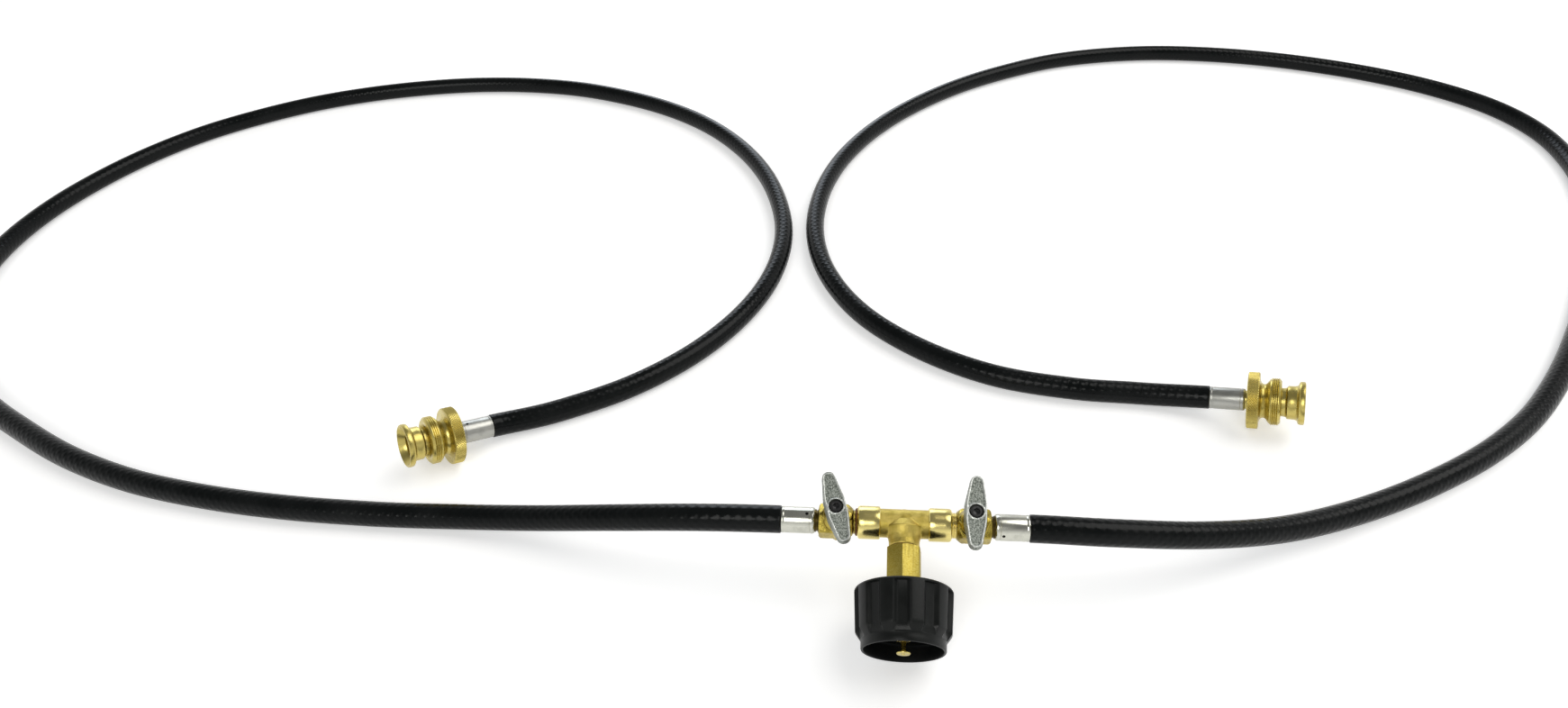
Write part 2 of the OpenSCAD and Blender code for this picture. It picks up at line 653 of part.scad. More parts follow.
function unit(v) = v / norm(v);
function cross_unit(a, b) = unit(cross(a, b));

// Directions of the middle line at each point. The ends follow their fittings.
function route_directions(points, first, last) = [
    for (i = [0 : len(points) - 1])
        i == 0 ? first : i == len(points) - 1 ? last : unit(points[i + 1] - points[i - 1])
];

// One ring of the tube, square to its direction.
function ring_points(centre, direction, r) =
    let (across = cross_unit([0, 0, 1], direction), up = cross(direction, across))
    [for (k = [0 : hose_sides - 1])
        let (a = 360 * (k + 0.5) / hose_sides) centre + r * (across * cos(a) + up * sin(a))];

module swept_hose(points, first, last) {
    directions = route_directions(points, first, last);
    count = len(points);
    rings = [for (i = [0 : count - 1]) ring_points(points[i], directions[i], hose_d / 2)];
    corners = [for (ring = rings) for (p = ring) p];
    walls = [for (i = [0 : count - 2]) for (k = [0 : hose_sides - 1])
        let (a = i * hose_sides + k, b = i * hose_sides + (k + 1) % hose_sides)
        [a, b, b + hose_sides, a + hose_sides]];
    start_cap = [[for (k = [hose_sides - 1 : -1 : 0]) k]];
    end_cap = [[for (k = [0 : hose_sides - 1]) (count - 1) * hose_sides + k]];
    polyhedron(points = corners, faces = concat(walls, start_cap, end_cap), convexity = 10);
}

module hose(side, route, outlet) color(rubber_black) {
    start = [side * hose_start_x, tee_y, tee_z];
    swept_hose(concat([start], route, [hose_end(outlet)]), [side, 0, 0], outlet_axis(outlet));
}

// ---- Pieces ----

tee_body();
hex_adapter();
tank_nozzle();
thermal_bushing();
coupling_nut();
probe_pin();
probe_spring();
probe_guide();

valve_body(LEFT);  // left_valve_body
ball(LEFT, left_lever_angle);  // left_ball
ball_seats(LEFT);  // left_ball_seats
stem(LEFT, left_lever_angle);  // left_stem
stem_seal(LEFT);  // left_stem_seal
lever(LEFT, left_lever_angle);  // left_lever
lever_screw(LEFT, left_lever_angle);  // left_lever_screw
tailpiece(LEFT);  // left_tailpiece
along_valve(LEFT, ferrule_in) ferrule(inlet_ferrule_length);  // left_inlet_ferrule
along_valve(LEFT, ferrule_in) hose_tail(inlet_ferrule_length);  // left_hose_inlet_end
hose(LEFT, left_route, left_outlet);  // left_hose
at_hose_end(left_outlet) hose_tail(outlet_ferrule_length);  // left_hose_outlet_end
at_hose_end(left_outlet) ferrule(outlet_ferrule_length);  // left_outlet_ferrule
outlet_nozzle(left_outlet);  // left_outlet_nozzle
swivel_collar(left_outlet);  // left_swivel_collar

valve_body(RIGHT);  // right_valve_body
ball(RIGHT, right_lever_angle);  // right_ball
ball_seats(RIGHT);  // right_ball_seats
stem(RIGHT, right_lever_angle);  // right_stem
stem_seal(RIGHT);  // right_stem_seal
lever(RIGHT, right_lever_angle);  // right_lever
lever_screw(RIGHT, right_lever_angle);  // right_lever_screw
tailpiece(RIGHT);  // right_tailpiece
along_valve(RIGHT, ferrule_in) ferrule(inlet_ferrule_length);  // right_inlet_ferrule
along_valve(RIGHT, ferrule_in) hose_tail(inlet_ferrule_length);  // right_hose_inlet_end
hose(RIGHT, right_route, right_outlet);  // right_hose
at_hose_end(right_outlet) hose_tail(outlet_ferrule_length);  // right_hose_outlet_end
at_hose_end(right_outlet) ferrule(outlet_ferrule_length);  // right_outlet_ferrule
outlet_nozzle(right_outlet);  // right_outlet_nozzle
swivel_collar(right_outlet);  // right_swivel_collar
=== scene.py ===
import json
import math

import bmesh
import bpy
from mathutils import Matrix, Vector
from mathutils.geometry import interpolate_bezier


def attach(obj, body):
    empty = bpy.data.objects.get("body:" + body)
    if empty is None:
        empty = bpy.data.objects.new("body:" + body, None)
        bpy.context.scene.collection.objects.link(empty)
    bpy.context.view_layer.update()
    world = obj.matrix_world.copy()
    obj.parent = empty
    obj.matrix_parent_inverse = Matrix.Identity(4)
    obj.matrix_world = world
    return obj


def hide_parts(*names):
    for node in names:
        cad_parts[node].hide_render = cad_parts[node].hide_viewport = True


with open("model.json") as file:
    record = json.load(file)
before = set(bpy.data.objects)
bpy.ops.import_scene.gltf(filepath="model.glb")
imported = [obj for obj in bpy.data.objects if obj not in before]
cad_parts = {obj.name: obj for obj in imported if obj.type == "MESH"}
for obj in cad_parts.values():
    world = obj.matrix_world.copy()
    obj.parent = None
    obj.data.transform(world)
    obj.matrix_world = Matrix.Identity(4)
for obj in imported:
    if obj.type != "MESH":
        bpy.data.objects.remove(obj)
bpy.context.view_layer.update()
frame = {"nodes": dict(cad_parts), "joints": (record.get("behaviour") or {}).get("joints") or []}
print("frame loaded:", len(frame["nodes"]), "nodes")

# places that every piece is built from, read from the joints
bothSides = ("left", "right")
joints = {joint["name"]: joint for joint in frame["joints"]}
stemSpot = {side: Vector(joints[side + "_lever_turn"]["pos_m"]) for side in bothSides}
teeCentre = (stemSpot["left"] + stemSpot["right"]) / 2
leverAxis = Vector(joints["right_lever_turn"]["axis"])
tankAxis = Vector(joints["nut_spin"]["axis"])
outward = {"left": Vector((-1, 0, 0)), "right": Vector((1, 0, 0))}
outletSpot = {side: Vector(joints[side + "_outlet_spin"]["pos_m"]) for side in bothSides}
outletAxis = {side: Vector(joints[side + "_outlet_spin"]["axis"]) for side in bothSides}
levelSide = {side: Vector((0, 0, 1)).cross(outletAxis[side]).normalized() for side in bothSides}

# a seat is the place of a piece's origin, the way its Z points and the way its X points
tankSeat = (teeCentre, tankAxis, outward["right"])
runSeat = {side: (teeCentre, outward[side], leverAxis) for side in bothSides}
millimetre = 0.001


camera = {
    "place": (-0.0160, -0.2715, 0.3845),
    "lookDown": 40,       # degrees below the horizon
    "turnLeft": 5.4,      # degrees left of +Y
    "roll": -2,
    "lens": 22.75,
    "filmWidth": 36,
    "shiftX": -0.0112,
    "nearest": 0.01,
}


def makeCamera():
    bpy.ops.object.camera_add(location=camera["place"])
    obj = bpy.context.object
    obj.name = "camera"
    turn = Matrix.Rotation(math.radians(camera["turnLeft"]), 3, "Z")
    tip = Matrix.Rotation(math.radians(90 - camera["lookDown"]), 3, "X")
    roll = Matrix.Rotation(math.radians(camera["roll"]), 3, "Z")
    obj.rotation_euler = (turn @ tip @ roll).to_euler()
    obj.data.lens = camera["lens"]
    obj.data.sensor_width = camera["filmWidth"]
    obj.data.shift_x = camera["shiftX"]
    obj.data.clip_start = camera["nearest"]
    bpy.context.scene.camera = obj


makeCamera()
print("camera ready")


def newMaterial(name, colour, metal, rough):
    mat = bpy.data.materials.new(name)
    mat.use_nodes = True
    shader = mat.node_tree.nodes["Principled BSDF"]
    shader.inputs["Base Color"].default_value = (*colour, 1)
    shader.inputs["Metallic"].default_value = metal
    shader.inputs["Roughness"].default_value = rough
    return mat, mat.node_tree, shader


def cover(tree, shader, tint, roughness, normal):
    # lays the three patterns of a finish on the surface
    for pattern, socket in ((tint, "Base Color"), (roughness, "Roughness"), (normal, "Normal")):
        tree.links.new(pattern, shader.inputs[socket])


def place(tree, output="Object"):
    # where a point of the surface is, in metres
    return tree.nodes.new("ShaderNodeTexCoord").outputs[output]


def grain(tree, where, scale, detail, stretch=None):
    if stretch:
        mapping = tree.nodes.new("ShaderNodeMapping")
        mapping.inputs["Scale"].default_value = stretch
        tree.links.new(where, mapping.inputs["Vector"])
        where = mapping.outputs["Vector"]
    noise = tree.nodes.new("ShaderNodeTexNoise")
    noise.inputs["Scale"].default_value = scale
    noise.inputs["Detail"].default_value = detail
    tree.links.new(where, noise.inputs["Vector"])
    return noise.outputs["Fac"]


def rings(tree, where, axis, scale, detail):
    # fine turning lines square to the axis of a turned piece
    along = tree.nodes.new("ShaderNodeVectorMath")
    along.operation = "DOT_PRODUCT"
    along.inputs[1].default_value = axis
    tree.links.new(where, along.inputs[0])
    noise = tree.nodes.new("ShaderNodeTexNoise")
    noise.noise_dimensions = "1D"
    noise.inputs["Scale"].default_value = scale
    noise.inputs["Detail"].default_value = detail
    tree.links.new(along.outputs["Value"], noise.inputs["W"])
    return noise.outputs["Fac"]


def reckon(tree, operation, first, second):
    node = tree.nodes.new("ShaderNodeMath")
    node.operation = operation
    tree.links.new(first, node.inputs[0])
    tree.links.new(second, node.inputs[1])
    return node.outputs[0]


def rescale(tree, value, fromLow, fromHigh, toLow, toHigh):
    ramp = tree.nodes.new("ShaderNodeMapRange")
    for socket, number in zip(("From Min", "From Max", "To Min", "To Max"), (fromLow, fromHigh, toLow, toHigh)):
        ramp.inputs[socket].default_value = number
    tree.links.new(value, ramp.inputs["Value"])
    return ramp.outputs["Result"]


def blendColours(tree, share, first, second):
    mix = tree.nodes.new("ShaderNodeMix")
    mix.data_type = "RGBA"
    for socket, colour in (("A", first), ("B", second)):
        spot = next(i for i in mix.inputs if i.name == socket and i.type == "RGBA")
        spot.default_value = (*colour, 1)
    tree.links.new(share, mix.inputs["Factor"])
    return next(o for o in mix.outputs if o.type == "RGBA")


def relief(tree, height, depth, under=None):
    bump = tree.nodes.new("ShaderNodeBump")
    bump.inputs["Strength"].default_value = 1
    bump.inputs["Distance"].default_value = depth
    tree.links.new(height, bump.inputs["Height"])
    if under:
        tree.links.new(under, bump.inputs["Normal"])
    return bump.outputs["Normal"]


brassColours = {
    # clean metal, then the darker stain on it
    "turned": ((0.66, 0.52, 0.12), (0.42, 0.31, 0.05)),
    "milled": ((0.46, 0.375, 0.09), (0.36, 0.27, 0.04)),
    "cast": ((0.60, 0.47, 0.12), (0.42, 0.32, 0.06)),
    "band": ((0.80, 0.68, 0.26), (0.55, 0.43, 0.12)),
    "outlet": ((0.56, 0.46, 0.14), (0.38, 0.30, 0.07)),
    "valve": ((0.44, 0.345, 0.07), (0.22, 0.165, 0.025)),
    "probe": ((0.66, 0.55, 0.20), (0.42, 0.33, 0.09)),
}

brassLook = {
    "ringScale": 2600, "ringDepth": 0.000007,
    "stainScale": 500, "stainStretch": 0.12, "stainShare": 0.35,
    "markScale": 800, "markDepth": 0.00004, "crossMarkDepth": 0.00003,
    "sandScale": 1900, "patchScale": 240,
}


def turnedBrass(name, axis, metal, rough):
    # bright turned surface: fine rings and a few stains, stretched along the axis
    bright, stained = brassColours[metal]
    mat, tree, shader = newMaterial(name, bright, 1, rough)
    spot = place(tree)
    stretch = tuple(brassLook["stainStretch"] if abs(share) > 0.5 else 1 for share in axis)
    stains = grain(tree, spot, brassLook["stainScale"], 3, stretch)
    lines = rings(tree, spot, axis, brassLook["ringScale"], 3)
    cover(tree, shader,
          blendColours(tree, rescale(tree, stains, 0.42, 0.7, 0, brassLook["stainShare"]), bright, stained),
          rescale(tree, stains, 0.3, 0.7, rough - 0.06, rough + 0.06),
          relief(tree, lines, brassLook["ringDepth"]))
    return mat


def brushedBrass():
    # milled hexagon faces, with crossed fine marks
    bright, dull = brassColours["milled"]
    mat, tree, shader = newMaterial("brushedBrass", bright, 1, 0.38)
    spot = place(tree)
    acrossMarks = grain(tree, spot, brassLook["markScale"], 3, (3, 0.15, 0.15))
    alongMarks = grain(tree, spot, brassLook["markScale"], 3, (0.15, 3, 3))
    crossed = relief(tree, acrossMarks, brassLook["crossMarkDepth"])
    cover(tree, shader,
          blendColours(tree, rescale(tree, alongMarks, 0.4, 0.65, 0, 0.9), bright, dull),
          rescale(tree, acrossMarks, 0.35, 0.65, 0.36, 0.52),
          relief(tree, alongMarks, brassLook["markDepth"], crossed))
    return mat


def forgedBrass(name, metal, depth, rough):
    # fine sandy skin of a hot forging, darker in its patches
    bright, dark = brassColours[metal]
    mat, tree, shader = newMaterial(name, bright, 1, rough)
    spot = place(tree)
    sand = grain(tree, spot, brassLook["sandScale"], 4)
    patches = grain(tree, spot, brassLook["patchScale"], 3)
    cover(tree, shader,
          blendColours(tree, rescale(tree, patches, 0.4, 0.7, 0, 1), bright, dark),
          rescale(tree, sand, 0.3, 0.7, rough - 0.08, rough + 0.08),
          relief(tree, sand, depth))
    return mat


aluminiumLook = {
    # the pit colour darkens the low points of the cast relief: painted shade in the pits
    "skin": (0.37, 0.395, 0.355), "pit": (0.11, 0.125, 0.105), "pitScale": 1500, "pitDepth": 0.0003,
    "patchScale": 420,
    "rim": (0.66, 0.68, 0.64), "rimWorn": (0.42, 0.44, 0.41), "wearScale": 700,
    "rimGrainScale": 2400, "rimGrainDepth": 0.00005,
}


def castAluminium():
    look = aluminiumLook
    mat, tree, shader = newMaterial("castAluminium", look["skin"], 0.7, 0.45)
    spot = place(tree)
    pits = grain(tree, spot, look["pitScale"], 4)
    patches = grain(tree, spot, look["patchScale"], 3)
    # the pits of the relief take the dark pit colour, painted shade
    cover(tree, shader,
          blendColours(tree, rescale(tree, pits, 0.38, 0.6, 0, 1), look["pit"], look["skin"]),
          rescale(tree, patches, 0.35, 0.7, 0.36, 0.56),
          relief(tree, pits, look["pitDepth"]))
    return mat


def rimAluminium():
    # worn smooth edge round the rough casting
    look = aluminiumLook
    mat, tree, shader = newMaterial("rimAluminium", look["rim"], 0.8, 0.32)
    spot = place(tree)
    wear = grain(tree, spot, look["wearScale"], 3)
    cover(tree, shader,
          blendColours(tree, rescale(tree, wear, 0.4, 0.7, 0, 1), look["rim"], look["rimWorn"]),
          rescale(tree, wear, 0.3, 0.7, 0.22, 0.42),
          relief(tree, grain(tree, spot, look["rimGrainScale"], 2), look["rimGrainDepth"]))
    return mat


steelLook = {"smearScale": 260, "scratchScale": 3200, "scratchDepth": 0.000006}


def platedSteel(name, bright, dull, rough):
    # zinc plate with dull smears and fine scratches along the run
    mat, tree, shader = newMaterial(name, bright, 1, rough)
    spot = place(tree)
    smears = grain(tree, spot, steelLook["smearScale"], 4)
    scratches = grain(tree, spot, steelLook["scratchScale"], 2, (0.2, 1, 1))
    cover(tree, shader,
          blendColours(tree, rescale(tree, smears, 0.5, 0.8, 0, 0.6), bright, dull),
          rescale(tree, smears, 0.4, 0.75, rough - 0.04, rough + 0.1),
          relief(tree, scratches, steelLook["scratchDepth"]))
    return mat


# moulded plastic, rubber and plain metal; the cloud is a second colour that drifts through the first
plainLooks = {
    "polishedSteel": {"colour": (0.75, 0.75, 0.75), "cloud": (0.62, 0.62, 0.63), "rough": 0.16,
                      "skinDepth": 0.00001, "skinScale": 900, "metal": 1},
    "blackSteel": {"colour": (0.008, 0.008, 0.009), "cloud": (0.020, 0.020, 0.019), "rough": 0.3,
                   "skinDepth": 0.00002},
    "nutPlastic": {"colour": (0.0035, 0.0045, 0.004), "cloud": (0.006, 0.0072, 0.0064), "rough": 0.35,
                   "skinDepth": 0.00004, "skinScale": 2200, "shine": 0.21},
    # a darker black for the thread and the inside of the nut's mouth: painted shade
    "threadPlastic": {"colour": (0.002, 0.0024, 0.0024), "cloud": (0.003, 0.0034, 0.0034), "rough": 0.5,
                      "skinDepth": 0.00003, "skinScale": 2200, "shine": 0.1},
    "bushingPlastic": {"colour": (0.030, 0.030, 0.030), "cloud": (0.045, 0.044, 0.042), "rough": 0.55,
                       "skinDepth": 0.00004, "skinScale": 1800},
    "seatPlastic": {"colour": (0.86, 0.86, 0.84), "cloud": (0.78, 0.78, 0.75), "rough": 0.4,
                    "skinDepth": 0.00001},
    "sealRubber": {"colour": (0.02, 0.02, 0.02), "cloud": (0.03, 0.03, 0.03), "rough": 0.5,
                   "skinDepth": 0.00002},
    # dark brown brass for the valve tail: painted shade in the gap between valve and ferrule
    "oiledBrass": {"colour": (0.12, 0.085, 0.02), "cloud": (0.03, 0.022, 0.008), "rough": 0.35,
                   "skinDepth": 0.00003, "skinScale": 1500, "metal": 1},
    "threadCompound": {"colour": (0.23, 0.10, 0.035), "cloud": (0.10, 0.045, 0.018), "rough": 0.5,
                       "skinDepth": 0.0002, "skinScale": 1400, "metal": 0.3},
}


def plainFinish(name, colour, cloud, rough, skinDepth, skinScale=2600, metal=0, shine=0.5):
    mat, tree, shader = newMaterial(name, colour, metal, rough)
    shader.inputs["Specular IOR Level"].default_value = shine
    spot = place(tree)
    clouds = grain(tree, spot, 130, 3)
    cover(tree, shader,
          blendColours(tree, rescale(tree, clouds, 0.35, 0.7, 0, 1), colour, cloud),
          rescale(tree, clouds, 0.3, 0.7, rough - 0.06, rough + 0.08),
          relief(tree, grain(tree, spot, skinScale, 3), skinDepth))
    return mat


hoseLook = {
    "colour": (0.003, 0.004, 0.004),
    "worn": (0.006, 0.007, 0.007), "wornScale": 45,
    "roughness": 0.24,
    "shine": 0.13,
    "braidsAround": 8,
    "braidLength": 0.0048,
    "braidDepth": 0.0001,
    "skinScale": 3000, "skinDepth": 0.00002,
}


def hoseRubber():
    # smooth cover with the diamond pattern of the braid showing faintly through
    look = hoseLook
    mat, tree, shader = newMaterial("hoseRubber", look["colour"], 0, look["roughness"])
    shader.inputs["Specular IOR Level"].default_value = look["shine"]
    wrap = place(tree, "UV")
    waveLength = math.tau / 10           # of the wave texture at scale 1
    strands = []
    for hand in (1, -1):
        mapping = tree.nodes.new("ShaderNodeMapping")
        mapping.inputs["Scale"].default_value = (waveLength * look["braidsAround"],
                                                 hand * waveLength / look["braidLength"], 0)
        tree.links.new(wrap, mapping.inputs["Vector"])
        wave = tree.nodes.new("ShaderNodeTexWave")
        wave.bands_direction = "DIAGONAL"
        wave.inputs["Scale"].default_value = 1
        tree.links.new(mapping.outputs["Vector"], wave.inputs["Vector"])
        strands.append(wave.outputs["Fac"])
    spot = place(tree)
    clouds = grain(tree, spot, look["wornScale"], 3)
    skin = relief(tree, grain(tree, spot, look["skinScale"], 2), look["skinDepth"])
    cover(tree, shader,
          blendColours(tree, rescale(tree, clouds, 0.4, 0.7, 0, 1), look["colour"], look["worn"]),
          rescale(tree, clouds, 0.35, 0.7, look["roughness"] - 0.07, look["roughness"] + 0.06),
          relief(tree, reckon(tree, "MULTIPLY", *strands), look["braidDepth"], skin))
    return mat


looks = {mat.name: mat for mat in (
    turnedBrass("runBrass", outward["right"], "band", rough=0.22),
    turnedBrass("branchBrass", tankAxis, "turned", rough=0.22),
    turnedBrass("leftOutletBrass", outletAxis["left"], "outlet", rough=0.29),
    turnedBrass("rightOutletBrass", outletAxis["right"], "outlet", rough=0.29),
    brushedBrass(),
    forgedBrass("forgedBrass", "cast", depth=0.00016, rough=0.42),
    forgedBrass("valveBrass", "valve", depth=0.00007, rough=0.24),
    forgedBrass("probeBrass", "probe", depth=0.00003, rough=0.3),
    castAluminium(),
    rimAluminium(),
    platedSteel("platedSteel", bright=(0.57, 0.57, 0.50), dull=(0.36, 0.36, 0.31), rough=0.2),
    platedSteel("dullSteel", bright=(0.40, 0.40, 0.37), dull=(0.27, 0.27, 0.25), rough=0.34),
    hoseRubber(),
    *(plainFinish(name, **numbers) for name, numbers in plainLooks.items()),
)}
print("materials ready:", len(looks))


# finish of every carried-over node that keeps its own shape
nodeLooks = {
    "branchBrass": ["probe_guide"],
    "bushingPlastic": ["thermal_bushing"],
    "polishedSteel": ["probe_spring", "left_ball", "right_ball"],
    "seatPlastic": ["left_ball_seats", "right_ball_seats"],
    "sealRubber": ["left_stem_seal", "right_stem_seal"],
    "runBrass": ["left_stem", "right_stem"],
    "hoseRubber": ["left_hose_inlet_end", "right_hose_inlet_end", "left_hose_outlet_end", "right_hose_outlet_end"],
}
for look, names in nodeLooks.items():
    for name in names:
        frame["nodes"][name].data.materials[0] = looks[look]
print("carried-over nodes dressed")


# tools of the bench: each piece is drawn in millimetres about its own Z axis, then set in its seat
grit = bpy.data.textures.new("grit", "CLOUDS")
grit.noise_scale = 0.9
grit.noise_depth = 2


def clearBench():
    if bpy.context.mode != "OBJECT":
        bpy.ops.object.mode_set(mode="OBJECT")
    bpy.ops.object.select_all(action="DESELECT")


def hold(*objs):
    # selects these objects, the last one active
    clearBench()
    for obj in objs:
        obj.select_set(True)
    bpy.context.view_layer.objects.active = objs[-1]


def openMesh(obj):
    hold(obj)
    bpy.ops.object.mode_set(mode="EDIT")


def shutMesh():
    bpy.ops.object.mode_set(mode="OBJECT")


def applyPlace(obj):
    # takes the object's place, turn and scale into its mesh
    hold(obj)
    bpy.ops.object.transform_apply(location=True, rotation=True, scale=True)


def turnAbout(obj, axis, degrees):
    setattr(obj.rotation_euler, axis, math.radians(degrees))
    applyPlace(obj)


def justAdded(name):
    # takes up the primitive that was added last
    obj = bpy.context.object
    obj.name = name
    applyPlace(obj)
    return obj


def pick(test, kind="VERT"):
    # in edit mode, selects the corners or faces that pass the test
    bpy.ops.mesh.select_mode(type=kind)
    bpy.ops.mesh.select_all(action="DESELECT")
    mesh = bmesh.from_edit_mesh(bpy.context.object.data)
    mesh.normal_update()
    if kind == "VERT":
        for vert in mesh.verts:
            vert.select_set(bool(test(vert.co)))
    else:
        for face in mesh.faces:
            face.select_set(bool(test(face.calc_center_median(), face.normal)))
    mesh.select_flush_mode()
    bmesh.update_edit_mesh(bpy.context.object.data)


def closeUp():
    # in edit mode, joins what meets and turns every face outwards
    bpy.ops.mesh.select_mode(type="VERT")
    bpy.ops.mesh.select_all(action="SELECT")
    bpy.ops.mesh.remove_doubles(threshold=0.001)
    bpy.ops.mesh.normals_make_consistent(inside=False)
    shutMesh()


def drawOut(profile):
    # in edit mode, draws the selected ring on through (radius, height) pairs
    radius, height = profile[0]
    for nextRadius, nextHeight in profile[1:]:
        bpy.ops.mesh.extrude_region_move(TRANSFORM_OT_translate={"value": (0, 0, nextHeight - height)})
        share = nextRadius / radius
        bpy.ops.transform.resize(value=(share, share, 1), center_override=(0, 0, nextHeight))
        radius, height = nextRadius, nextHeight


def startRing(name, radius, height, sides):
    # a ring of corners about Z, selected in edit mode
    clearBench()
    bpy.ops.mesh.primitive_circle_add(vertices=sides, radius=radius, location=(0, 0, height))
    obj = justAdded(name)
    openMesh(obj)
    bpy.ops.mesh.select_mode(type="VERT")
    bpy.ops.mesh.select_all(action="SELECT")
    return obj


def turnRing(name, profile, sides=96):
    # a hollow turned piece: the profile goes right round its wall and back to its first point
    obj = startRing(name, *profile[0], sides)
    drawOut(profile + [profile[0]])
    closeUp()
    return obj


def turnSolid(name, profile, sides=96):
    # a solid turned piece, closed with a flat face at both ends
    obj = startRing(name, *profile[0], sides)
    bpy.ops.mesh.edge_face_add()
    drawOut(profile)
    closeUp()
    return obj


def change(obj, kind, **settings):
    # adds a modifier to the piece and applies it
    hold(obj)
    mod = obj.modifiers.new(kind.lower(), kind)
    for key, setting in settings.items():
        setattr(mod, key, setting)
    bpy.ops.object.modifier_apply(modifier=mod.name)


def combine(obj, tool, operation):
    change(obj, "BOOLEAN", operation=operation, object=tool, solver="EXACT")
    hold(tool)
    bpy.ops.object.delete()


def breakEdges(obj, width, angle=40):
    # rounds every edge sharper than the angle
    change(obj, "BEVEL", width=width, segments=2, limit_method="ANGLE",
           angle_limit=math.radians(angle), use_clamp_overlap=True)


def hexBar(name, flats, near, far, turn, edgeRound):
    # a six-sided bar along Z, one corner at the turn from X
    clearBench()
    bpy.ops.mesh.primitive_cylinder_add(vertices=6, radius=flats / math.sqrt(3), depth=far - near,
                                        location=(0, 0, (near + far) / 2))
    bar = justAdded(name)
    corner = bar.data.vertices[0].co
    turnAbout(bar, "z", turn - math.degrees(math.atan2(corner.y, corner.x)))
    breakEdges(bar, edgeRound)
    return bar


def smooth(obj, angle):
    hold(obj)
    bpy.ops.object.shade_smooth_by_angle(angle=math.radians(angle))


def melt(obj, part):
    # joins the solids of a casting under one softened skin
    change(obj, "REMESH", mode="VOXEL", voxel_size=part["voxel"])
    change(obj, "SMOOTH", factor=0.5, iterations=part["soften"])


def roughen(obj, depth):
    change(obj, "DISPLACE", texture=grit, strength=depth, mid_level=0.5, texture_coords="LOCAL")
    smooth(obj, 60)


def fitPiece(obj, seat, body, slotName, *nodes, look):
    # sets the piece in its seat and hands it to its body
    spot, along, across = seat
    turn = Matrix((across, along.cross(across), along)).transposed().to_4x4()
    turn.translation = spot
    obj.matrix_world = turn @ Matrix.Scale(millimetre, 4)
    applyPlace(obj)
    obj.data.materials.clear()
    for each in (look if isinstance(look, tuple) else (look,)):
        obj.data.materials.append(looks[each])
    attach(obj, body)
    if nodes:
        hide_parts(*nodes)


couplingNut = {
    "backRadius": 21.7, "shoulderRadius": 20.8, "skirtRadius": 18.3, "boreRadius": 16.9,
    "mouth": 57.4, "edgeRound": 0.22,
    "flutes": 10, "fluteTurn": 4, "fluteWidth": 7.5, "fluteDepth": 1.65,
    "columnStep": 2,                                       # degrees between the columns of corners
    "innerFrom": 33.5, "innerRadius": 17.3,                # faces beyond and within these get a darker black: painted shade inside the mouth
}

nutThread = {
    "pitch": 4.2, "turns": 3.4, "crest": 15.8, "sunk": 0.3, "start": 38.2,
    "base": 2.5, "taper": 0.42,                            # width of the ridge at its root, share left at its crest
    "stepsPerTurn": 72,
}


def makeCouplingNut():
    nut = couplingNut
    back, deep = nut["backRadius"], nut["fluteDepth"]
    # height, radius of the lands and depth of the flutes there
    rows = [(31, 20.55, 0), (31.15, 20.95, 0), (31.45, 21.35, 0), (31.95, 21.62, 0), (32.3, back - 0.03, 0),
            (32.45, back - 0.03, deep), (38, 21.38, deep), (44, 21.08, deep), (48.6, 20.86, deep),
            (49.8, nut["shoulderRadius"], deep), (50.3, 20.6, 1.42), (51.3, 19.88, 0.82), (52.3, 19.16, 0.36),
            (53.0, 18.66, 0.12)]
    outside = [(radius, height) for height, radius, depth in rows]
    outside += [(18.42, 53.45), (nut["skirtRadius"], 53.9), (18.28, 55), (18.25, 56.8), (18.05, 57.25),
                (17.7, nut["mouth"])]
    inside = [(17.5, nut["mouth"]), (17.15, 57.1), (16.95, 56.3), (nut["boreRadius"], 54), (nut["boreRadius"], 36),
              (16.4, 34.4), (15.6, 34), (9.5, 34), (7.5, 34), (7.06, 33.6), (7.06, 31.4), (7.4, 31)]
    obj = turnRing("fluted_coupling_nut", outside + inside, 360 // nut["columnStep"])

    def sideways(spot):
        # degrees from the middle of the nearest flute
        pitch = 360 / nut["flutes"]
        return (math.degrees(math.atan2(spot.x, spot.y)) + nut["fluteTurn"] + pitch / 2) % pitch - pitch / 2

    def setColumn(height, radius, column, across, rise):
        # moves one column's corners to a place measured across and up from the flute's middle
        for way in ((-1, 1) if column else (1,)):
            pick(lambda spot: abs(spot.z - height) < 0.04 and abs(spot.xy.length - radius) < 0.02
                 and abs(sideways(spot) - way * column) < 0.1)
            turn = math.degrees(math.atan2(across, rise)) - column
            share = math.hypot(across, rise) / radius
            bpy.ops.transform.resize(value=(share, share, 1), center_override=(0, 0, height))
            if abs(turn) > 0.01:
                bpy.ops.transform.rotate(value=math.radians(way * turn), orient_axis="Z",
                                         center_override=(0, 0, height))

    # a flat floor between leaning walls; the floor widens where the flute runs out
    openMesh(obj)
    edge = nut["fluteWidth"] / 2
    for height, radius, depth in rows:
        if not depth:
            continue
        crest = math.sqrt(radius ** 2 - edge ** 2)
        foot, floor = edge - depth, crest - depth
        columns = [(0, floor), (foot / 3, floor), (foot * 2 / 3, floor), (foot, floor),
                   ((foot + edge) / 2, (floor + crest) / 2), (edge, crest)]
        for i, (across, rise) in enumerate(columns):
            setColumn(height, radius, i * nut["columnStep"], across, rise)
    shutMesh()
    breakEdges(obj, nut["edgeRound"], 26)
    smooth(obj, 40)
    fitPiece(obj, tankSeat, "tank_nut", "nut_plastic", "coupling_nut", look=("nutPlastic", "threadPlastic"))
    # the inside of the mouth gets a darker, duller black: painted shade in the recess
    for face in obj.data.polygons:
        spot = face.center - teeCentre
        height = spot.dot(tankAxis)
        fromAxis = (spot - tankAxis * height).length
        if height > nut["innerFrom"] * millimetre and fromAxis < nut["innerRadius"] * millimetre:
            face.material_index = 1


